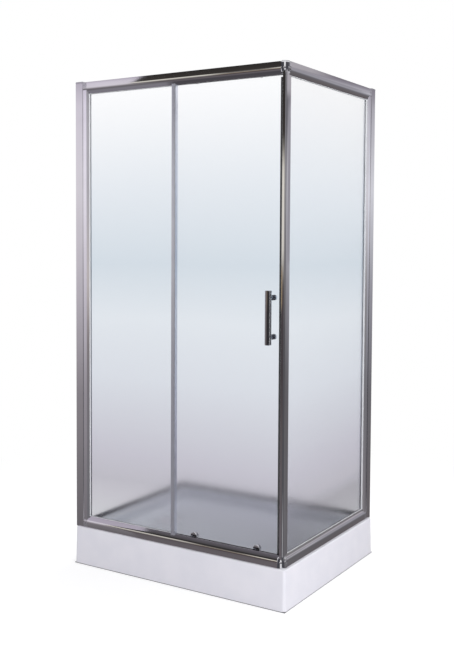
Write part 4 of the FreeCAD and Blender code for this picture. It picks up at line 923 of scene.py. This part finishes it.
def stripTree():
    # A flat bead with rounded edges that follows every edge of the incoming mesh.
    tree, sheet, start = newTree("shadeStripTree", stripInputs)
    width, height, rounding = (start.other(name) for name in list(stripInputs)[:3])
    path = sheet.node("GeometryNodeMeshToCurve", None, {0: start})
    path = sheet.node("GeometryNodeSetCurveNormal", {"mode": "Z_UP"}, {"Curve": path})
    section = sheet.node("GeometryNodeCurvePrimitiveQuadrilateral", None, {"Width": width, "Height": height})
    values = {"Curve": section, "Count": 5, "Radius": rounding, "Limit Radius": True}
    section = sheet.node("GeometryNodeFilletCurve", {"mode": "POLY"}, values)
    values = {"Curve": path, "Profile Curve": section, "Fill Caps": True}
    endTree(sheet, sheet.node("GeometryNodeCurveToMesh", None, values), start.other("Material"))
    return tree


studBoxes = islands("foot_studs")
studLow, studHigh = studBoxes[0]
studs = grow(
    "foot_studs_threaded",
    studTree(),
    [((low.x + high.x) / 2, (low.y + high.y) / 2, low.z) for low, high in studBoxes],
    {
        **studInputs,
        "Crest Radius": (studHigh.x - studLow.x) / 2,
        "Length": studHigh.z - studLow.z,
        "Material": zinc,
    },
)
hand(studs, "foot_studs")
# The screws are alike, so the last one's box gives the sizes of all.
screwPoints, screwAims = [], []
for low, high in islands("stile_screws"):
    centre = (low + high) / 2
    spans = high - low
    axis = 0 if abs(spans.x - spans.z) > abs(spans.y - spans.z) else 1
    aim = Vector((0.0, 0.0, 0.0))
    aim[axis] = -math.copysign(1.0, centre[axis])
    tip = high[axis] if aim[axis] > 0 else low[axis]
    centre[axis] = tip - aim[axis] * screwInputs["Head Height"]
    screwPoints.append(tuple(centre))
    screwAims.append(tuple(aim))
    headRadius = spans.z / 2
    shankLength = spans[axis] - screwInputs["Head Height"]
screws = grow(
    "stile_screws_crossed",
    screwTree(),
    screwPoints,
    {**screwInputs, "Head Radius": headRadius, "Shank Length": shankLength, "Material": zinc},
    screwAims,
)
hand(screws, "stile_screws")
print("studs threaded:", len(studBoxes), "screws:", len(screwPoints))


# Dark rubber strips: painted shade along the tray's ledges where it meets the walls, and a painted contact
# shadow under the skirt's edge.
shadeStripShape = {
    "wallWide": 0.012,
    "wallTall": 0.015,
    "wallRounding": 0.003,
    "wallLap": 0.0002,
    "wallPlay": 0.0005,
    "floorWide": 0.004,
    "floorTall": 0.0026,
    "floorRounding": 0.001,
    "floorLap": 0.0001,
}
shadeStripGrower = stripTree()


def layStrips(name, points, wide, tall, rounding):
    # Two straight strips, each between a pair of points.
    sizes = {"Width": wide, "Height": tall, "Rounding": rounding, "Material": darkRubber}
    piece = grow(name, shadeStripGrower, points, sizes, edges=[(0, 1), (2, 3)])
    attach(piece, bodyOf["tray"])


trayLow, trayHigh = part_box("tray")
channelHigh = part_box("wall_channel_left")[1]
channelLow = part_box("wall_channel_back")[0]
wide, tall, play = (shadeStripShape[name] for name in ("wallWide", "wallTall", "wallPlay"))
leftX = trayLow[0] + wide / 2
backY = trayHigh[1] - wide / 2
level = trayHigh[2] + tall / 2 - shadeStripShape["wallLap"]
wallPoints = [
    (leftX, channelHigh[1] + play, level),
    (leftX, trayHigh[1] - play, level),
    (trayLow[0] + wide, backY, level),
    (channelLow[0] - play, backY, level),
]
# Painted shade along the tray's far edges.
layStrips("wall_shade_strips", wallPoints, wide, tall, shadeStripShape["wallRounding"])
wide, tall = shadeStripShape["floorWide"], shadeStripShape["floorTall"]
frontY = trayLow[1] + wide / 2
rightX = trayHigh[0] - wide / 2
level = trayLow[2] - tall / 2 + shadeStripShape["floorLap"]
floorPoints = [
    (trayLow[0], frontY, level),
    (trayHigh[0], frontY, level),
    (rightX, trayLow[1] + wide, level),
    (rightX, trayHigh[1], level),
]
# Painted contact shadow under the skirt's front and side.
layStrips("skirt_shadow_strip", floorPoints, wide, tall, shadeStripShape["floorRounding"])
print("strips laid")


# The handle is a square bar with slightly crowned faces.
barShape = {"crown": 9.0, "crownHalf": 0.0080, "steps": 6, "endCut": 0.0007, "sharp": 30.0}


def crownedSquare(half):
    # One quarter is a shallow arc across a face and a tight arc round its corner.
    crown, steps = math.radians(barShape["crown"]), barShape["steps"]
    wide = barShape["crownHalf"]
    bow = wide / math.sin(crown)
    sag = bow * (1.0 - math.cos(crown))
    corner = (half - sag - wide) / (math.cos(crown) - math.sin(crown))
    hub = (wide - corner * math.sin(crown), corner * math.cos(crown) + sag - half)
    quarter = []
    for step in range(-steps, steps + 1):
        angle = crown * step / steps
        quarter.append((bow * math.sin(angle), bow * (1.0 - math.cos(angle)) - half))
    for step in range(1, steps):
        angle = crown + (math.pi / 2 - 2 * crown) * step / steps
        quarter.append((hub[0] + corner * math.sin(angle), hub[1] - corner * math.cos(angle)))
    turned = [[(x, y), (-y, x), (-x, -y), (y, -x)] for x, y in quarter]
    return [corners[side] for side in range(4) for corners in turned]


def makeHandleBar():
    # Four rings of the section: two at full size, and a smaller one at each end.
    low, high = (Vector(corner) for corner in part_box("handle_bar"))
    middle = (low + high) / 2
    wide, cut = high.x - low.x, barShape["endCut"]
    section = crownedSquare(wide / 2)
    small = 1.0 - cut / wide * 2
    rings = ((low.z, small), (low.z + cut, 1.0), (high.z - cut, 1.0), (high.z, small))
    points = [(middle.x + x * size, middle.y + y * size, level) for level, size in rings for x, y in section]
    count = len(section)
    last = (len(rings) - 1) * count
    faces = [tuple(reversed(range(count))), tuple(range(last, last + count))]
    for start in range(0, last, count):
        for number in range(count):
            after = (number + 1) % count
            faces.append((start + number, start + after, start + count + after, start + count + number))
    mesh = bpy.data.meshes.new("handle_bar_crowned")
    mesh.from_pydata(points, [], faces)
    shadeByAngle(mesh, barShape["sharp"])
    mesh.materials.append(shadedHandleChrome)
    hand(addObject("handle_bar_crowned", mesh), "handle_bar")


makeHandleBar()
print("handle bar made")


# What metal sees: brightness by elevation in degrees, for each slice of the room.
studio = {
    "round": (
        (-90, (0.24, 0.24, 0.25)),
        (-30, (0.14, 0.14, 0.15)),
        (-16, (0.10, 0.10, 0.11)),
        (-6, (0.10, 0.10, 0.11)),
        (0, (0.30, 0.29, 0.31)),
        (4, (0.46, 0.45, 0.48)),
        (9, (0.20, 0.19, 0.21)),
        (20, (0.22, 0.22, 0.24)),
        (50, (0.55, 0.55, 0.57)),
        (90, (0.95, 0.95, 0.96)),
    ),
    "frontDark": (
        (-90, (0.10, 0.095, 0.10)),
        (-30, (0.075, 0.07, 0.08)),
        (-18, (0.155, 0.140, 0.150)),
        (-12, (0.12, 0.105, 0.11)),
        (-8, (0.07, 0.06, 0.065)),
        (-3, (0.08, 0.07, 0.075)),
        (-0.5, (0.78, 0.75, 0.68)),
        (4, (0.84, 0.81, 0.72)),
        (6, (0.05, 0.045, 0.04)),
        (12, (0.026, 0.024, 0.024)),
        (24, (0.085, 0.08, 0.085)),
        (48, (0.14, 0.13, 0.15)),
        (90, (0.6, 0.6, 0.6)),
    ),
    "frontPale": (
        (-90, (0.22, 0.21, 0.24)),
        (-30, (0.24, 0.23, 0.26)),
        (-18, (0.15, 0.14, 0.15)),
        (-9, (0.30, 0.28, 0.30)),
        (-3, (0.58, 0.55, 0.60)),
        (3, (0.80, 0.77, 0.82)),
        (8, (0.76, 0.72, 0.80)),
        (9.4, (0.54, 0.50, 0.58)),
        (14, (0.50, 0.46, 0.54)),
        (50, (0.48, 0.45, 0.52)),
        (90, (0.8, 0.8, 0.82)),
    ),
    "sideNear": (
        (-90, (0.08, 0.08, 0.09)),
        (-28, (0.11, 0.105, 0.115)),
        (-17, (0.165, 0.16, 0.17)),
        (-8, (0.13, 0.125, 0.13)),
        (0, (0.36, 0.35, 0.37)),
        (4, (0.38, 0.37, 0.39)),
        (7, (0.06, 0.06, 0.065)),
        (16, (0.20, 0.20, 0.20)),
        (32, (0.36, 0.36, 0.34)),
        (42, (0.46, 0.46, 0.45)),
        (47, (0.9, 0.9, 0.9)),
        (90, (0.9, 0.9, 0.92)),
    ),
    "sideFar": (
        (-90, (0.10, 0.10, 0.11)),
        (-30, (0.12, 0.115, 0.125)),
        (-18, (0.15, 0.135, 0.14)),
        (-9, (0.17, 0.165, 0.18)),
        (-3, (0.36, 0.36, 0.40)),
        (3, (0.76, 0.77, 0.82)),
        (7.6, (0.50, 0.49, 0.54)),
        (8.8, (0.26, 0.24, 0.28)),
        (11, (0.20, 0.19, 0.22)),
        (24, (0.22, 0.20, 0.20)),
        (48, (0.29, 0.27, 0.28)),
        (90, (0.40, 0.40, 0.42)),
    ),
    "leftRoom": (
        (-90, (0.24, 0.24, 0.25)),
        (-30, (0.14, 0.14, 0.15)),
        (-18, (0.13, 0.13, 0.14)),
        (-9, (0.20, 0.20, 0.22)),
        (-3.5, (0.36, 0.35, 0.38)),
        (0, (0.85, 0.83, 0.86)),
        (4, (0.95, 0.93, 0.95)),
        (8, (0.32, 0.31, 0.34)),
        (14, (0.22, 0.22, 0.24)),
        (50, (0.55, 0.55, 0.57)),
        (90, (0.95, 0.95, 0.96)),
    ),
    "leftLip": (
        (-90, (0.2, 0.2, 0.21)),
        (-16, (0.15, 0.15, 0.16)),
        (-9, (0.18, 0.17, 0.18)),
        (-6, (0.22, 0.20, 0.20)),
        (-3, (0.52, 0.48, 0.46)),
        (2.5, (0.42, 0.41, 0.43)),
        (8, (0.42, 0.41, 0.43)),
        (10, (0.08, 0.08, 0.09)),
        (90, (0.2, 0.2, 0.2)),
    ),
    "backLip": (
        (-90, (0.2, 0.2, 0.21)),
        (-15, (0.21, 0.20, 0.21)),
        (-9, (0.17, 0.17, 0.18)),
        (-3, (0.27, 0.26, 0.27)),
        (2.5, (0.66, 0.65, 0.68)),
        (8, (0.54, 0.53, 0.57)),
        (10, (0.2, 0.2, 0.22)),
        (90, (0.3, 0.3, 0.3)),
    ),
}
# Where each slice stands: spans of the seen direction's X and Y, how far its edge leans with Z, softness.
slices = (
    ("leftRoom", (-1.1, -0.72), (-1.1, 0.7), 0.0, 0.02),
    ("frontPale", (-0.72, -0.603), (-1.1, 0.1), 0.032, 0.002),
    ("frontDark", (-0.603, -0.36), (-1.1, 0.1), 0.032, 0.002),
    ("sideNear", (0.15, 1.1), (0.3, 0.854), 0.0, 0.004),
    ("sideFar", (0.15, 1.1), (0.854, 1.1), 0.0, 0.004),
)
# Bright and dark boards in the room: spans of X, of Y and of elevation in degrees, softness, colour.
boards = (
    ((0.05, 1.1), (0.4, 0.885), (8.6, 15.0), 0.006, (0.48, 0.46, 0.49)),
    ((0.15, 1.1), (0.854, 0.906), (-1.5, 7.4), 0.004, (0.36, 0.35, 0.39)),
    ((-0.53, -0.478), (-1.1, 0.1), (-1.0, 5.4), 0.01, (0.17, 0.16, 0.15)),
    ((-0.36, 0.33), (-1.1, -0.6), (-60.0, 70.0), 0.03, (0.06, 0.06, 0.07)),
    ((-0.60, -0.53), (-1.1, -0.7), (-7.5, -1.0), 0.008, (0.32, 0.30, 0.28)),
    ((-0.53, -0.45), (-1.1, -0.7), (-4.2, -1.8), 0.006, (0.36, 0.27, 0.17)),
    ((0.36, 0.66), (-0.98, -0.35), (9.0, 60.0), 0.03, (1.0, 1.0, 1.0)),
    ((0.36, 0.66), (-0.98, -0.35), (0.0, 4.5), 0.03, (0.75, 0.73, 0.75)),
    ((0.36, 0.66), (-0.98, -0.35), (-60.0, -16.5), 0.03, (0.9, 0.9, 0.92)),
    ((0.72, 1.1), (-0.7, 0.3), (-70.0, 60.0), 0.05, (0.07, 0.07, 0.08)),
)
# Slices that lie over the boards, for the lips of the two stiles.
lips = (
    ("leftLip", (0.14, 0.37), (-1.1, -0.85), 0.0, 0.01),
    ("backLip", (0.90, 1.1), (0.06, 0.30), 0.0, 0.01),
)
# Edges: from which Z to which they lean, and how many times softer they are in Y and in degrees.
edgeShape = {"lean": (0.10, 0.32), "softerY": 8.0, "softerRise": 50.0}
softLight = {
    "horizon": (0.90, 0.88, 0.96),
    "zenith": (0.66, 0.67, 0.67),
    "climb": (-0.1, 0.9),
    "leftShare": 0.72,
    "aim": (0.0, 0.0, 0.8),
    # Name, place, size and power.
    "lamps": (
        ("key", (3.6, -0.8, 2.4), 2.4, 61.0),
        ("fill", (1.0, -3.6, 1.8), 2.4, 21.0),
        ("top", (0.1, 0.2, 3.8), 2.0, 56.0),
    ),
}


def riseStops(name):
    return [((angle + 90.0) / 180.0, colour) for angle, colour in studio[name]]


def makeWorld():
    world = bpy.data.worlds.new("studio")
    scene.world = world
    world.use_nodes = True
    world.node_tree.nodes.clear()
    sheet = NodeSheet(world.node_tree)
    ray = sheet.node("ShaderNodeTexCoord", out="Generated")
    x = sheet.node("ShaderNodeSeparateXYZ", None, {"Vector": ray})
    y, z = x.other("Y"), x.other("Z")
    degrees = sheet.maths("ARCSINE", z) * (180.0 / math.pi)
    rise = (degrees + 90.0) / 180.0

    def within(value, span, soft):
        low, high = span
        above = sheet.span(value, low - soft, low + soft)
        return above * (1.0 - sheet.span(value, high - soft, high + soft))

    seen = sheet.ramp(rise, riseStops("round"))
    tilt = sheet.span(sheet.maths("ABSOLUTE", z), *edgeShape["lean"])

    def addSlice(seen, name, spanX, spanY, lean, soft):
        inside = within(x - tilt * lean, spanX, soft) * within(y, spanY, soft * edgeShape["softerY"])
        return sheet.blend(inside, seen, sheet.ramp(rise, riseStops(name)))

    for part in slices:
        seen = addSlice(seen, *part)
    for spanX, spanY, spanRise, soft, colour in boards:
        inside = within(x, spanX, soft) * within(y, spanY, soft)
        inside = inside * within(degrees, spanRise, soft * edgeShape["softerRise"])
        seen = sheet.blend(inside, seen, colour)
    for part in lips:
        seen = addSlice(seen, *part)
    dome = sheet.blend(sheet.span(z, *softLight["climb"]), softLight["horizon"], softLight["zenith"])
    side = sheet.span(x, -1.0, 1.0, softLight["leftShare"], 1.0)
    dome = sheet.blend(side, (0.0, 0.0, 0.0), dome)
    # Metal sees the room, matt surfaces the soft dome, and the camera white, also through the glass.
    path = sheet.node("ShaderNodeLightPath")
    colour = sheet.blend(path.other("Is Glossy Ray"), dome, seen)
    straight = sheet.maths("MAXIMUM", path, path.other("Is Transmission Ray"))
    colour = sheet.blend(straight, colour, (1.0, 1.0, 1.0))
    light = sheet.node("ShaderNodeBackground", None, {"Color": colour, "Strength": 1.0})
    sheet.node("ShaderNodeOutputWorld", None, {"Surface": light})
    world.cycles.sampling_method = "NONE"


def makeFloor():
    # To the camera the floor glows white, with the shadow left in; to other rays it is plain.
    look = {
        "glow": 0.56,
        "thin": 0.52,
        "plain": 0.82,
        "grain": (60.0, 3.0, 0.5),
        "grainShade": (0.98, 1.0),
        "fade": (0.9, 2.2),
        "reach": 14.0,
    }
    material, sheet = newMaterial("studioFloor")
    grain = sheet.span(sheet.noise(sheet.place(), *look["grain"]), *noiseSpan, *look["grainShade"])
    pale = sheet.blend(grain, (0.0, 0.0, 0.0), (look["plain"],) * 3)
    plain = sheet.node("ShaderNodeBsdfDiffuse", None, {"Color": pale})
    thin = sheet.node("ShaderNodeBsdfDiffuse", None, {"Color": (look["thin"],) * 3})
    glow = sheet.node("ShaderNodeEmission", None, {"Color": (look["glow"],) * 3})
    near = sheet.node("ShaderNodeAddShader", None, {0: thin, 1: glow})
    far = sheet.node("ShaderNodeEmission", None, {"Color": (1.0, 1.0, 1.0)})
    here = sheet.node("ShaderNodeTexCoord", out="Object")
    distance = sheet.node("ShaderNodeVectorMath", {"operation": "LENGTH"}, {0: here}, out="Value")
    fade = sheet.span(distance, *look["fade"])
    bright = sheet.node("ShaderNodeMixShader", None, {0: fade, 1: near, 2: far})
    path = sheet.node("ShaderNodeLightPath")
    both = sheet.node("ShaderNodeMixShader", None, {0: path, 1: plain, 2: bright})
    sheet.node("ShaderNodeOutputMaterial", None, {"Surface": both})
    mesh = bpy.data.meshes.new("floor")
    reach = look["reach"]
    corners = [(-reach, -reach, 0.0), (reach, -reach, 0.0), (reach, reach, 0.0), (-reach, reach, 0.0)]
    mesh.from_pydata(corners, [], [(0, 1, 2, 3)])
    mesh.materials.append(material)
    floor = addObject("floor", mesh)
    floor.visible_glossy = False
    floor.visible_transmission = False


def makeLamps():
    # Discs aimed at the part; reflections and the glass don't show them.
    for name, spot, size, power in softLight["lamps"]:
        lamp = bpy.data.lights.new(name, "AREA")
        lamp.shape = "DISK"
        lamp.size = size
        lamp.energy = power
        holder = addObject(name, lamp)
        aim = Vector(softLight["aim"]) - Vector(spot)
        holder.matrix_world = Matrix.Translation(spot) @ aim.to_track_quat("-Z", "Y").to_matrix().to_4x4()
        holder.visible_glossy = False
        holder.visible_transmission = False
        holder.visible_camera = False


view = {
    "spot": (2.0934, -3.3751, 1.3657),
    "yaw": 32.15,
    "pitch": 2.815,
    "roll": 0.289,
    "lens": 52.116,
    "shift": (0.0077, -0.0623),
    "sensor": 36.0,
    "far": 60.0,
}


def makeCamera():
    yaw, pitch, roll = (math.radians(view[name]) for name in ("yaw", "pitch", "roll"))
    ahead = Vector((-math.sin(yaw) * math.cos(pitch), math.cos(yaw) * math.cos(pitch), -math.sin(pitch)))
    right = Vector((math.cos(yaw), math.sin(yaw), 0.0))
    up = right.cross(ahead)
    across = right * math.cos(roll) + up * math.sin(roll)
    above = up * math.cos(roll) - right * math.sin(roll)
    turn = Matrix((across, above, -ahead)).transposed().to_4x4()
    camera = bpy.data.cameras.new("camera")
    camera.sensor_width = view["sensor"]
    camera.lens = view["lens"]
    camera.shift_x, camera.shift_y = view["shift"]
    camera.clip_end = view["far"]
    holder = addObject("camera", camera)
    holder.matrix_world = Matrix.Translation(view["spot"]) @ turn
    scene.camera = holder


makeWorld()
makeFloor()
makeLamps()
makeCamera()
scene.view_settings.view_transform = "Standard"
print("studio ready")
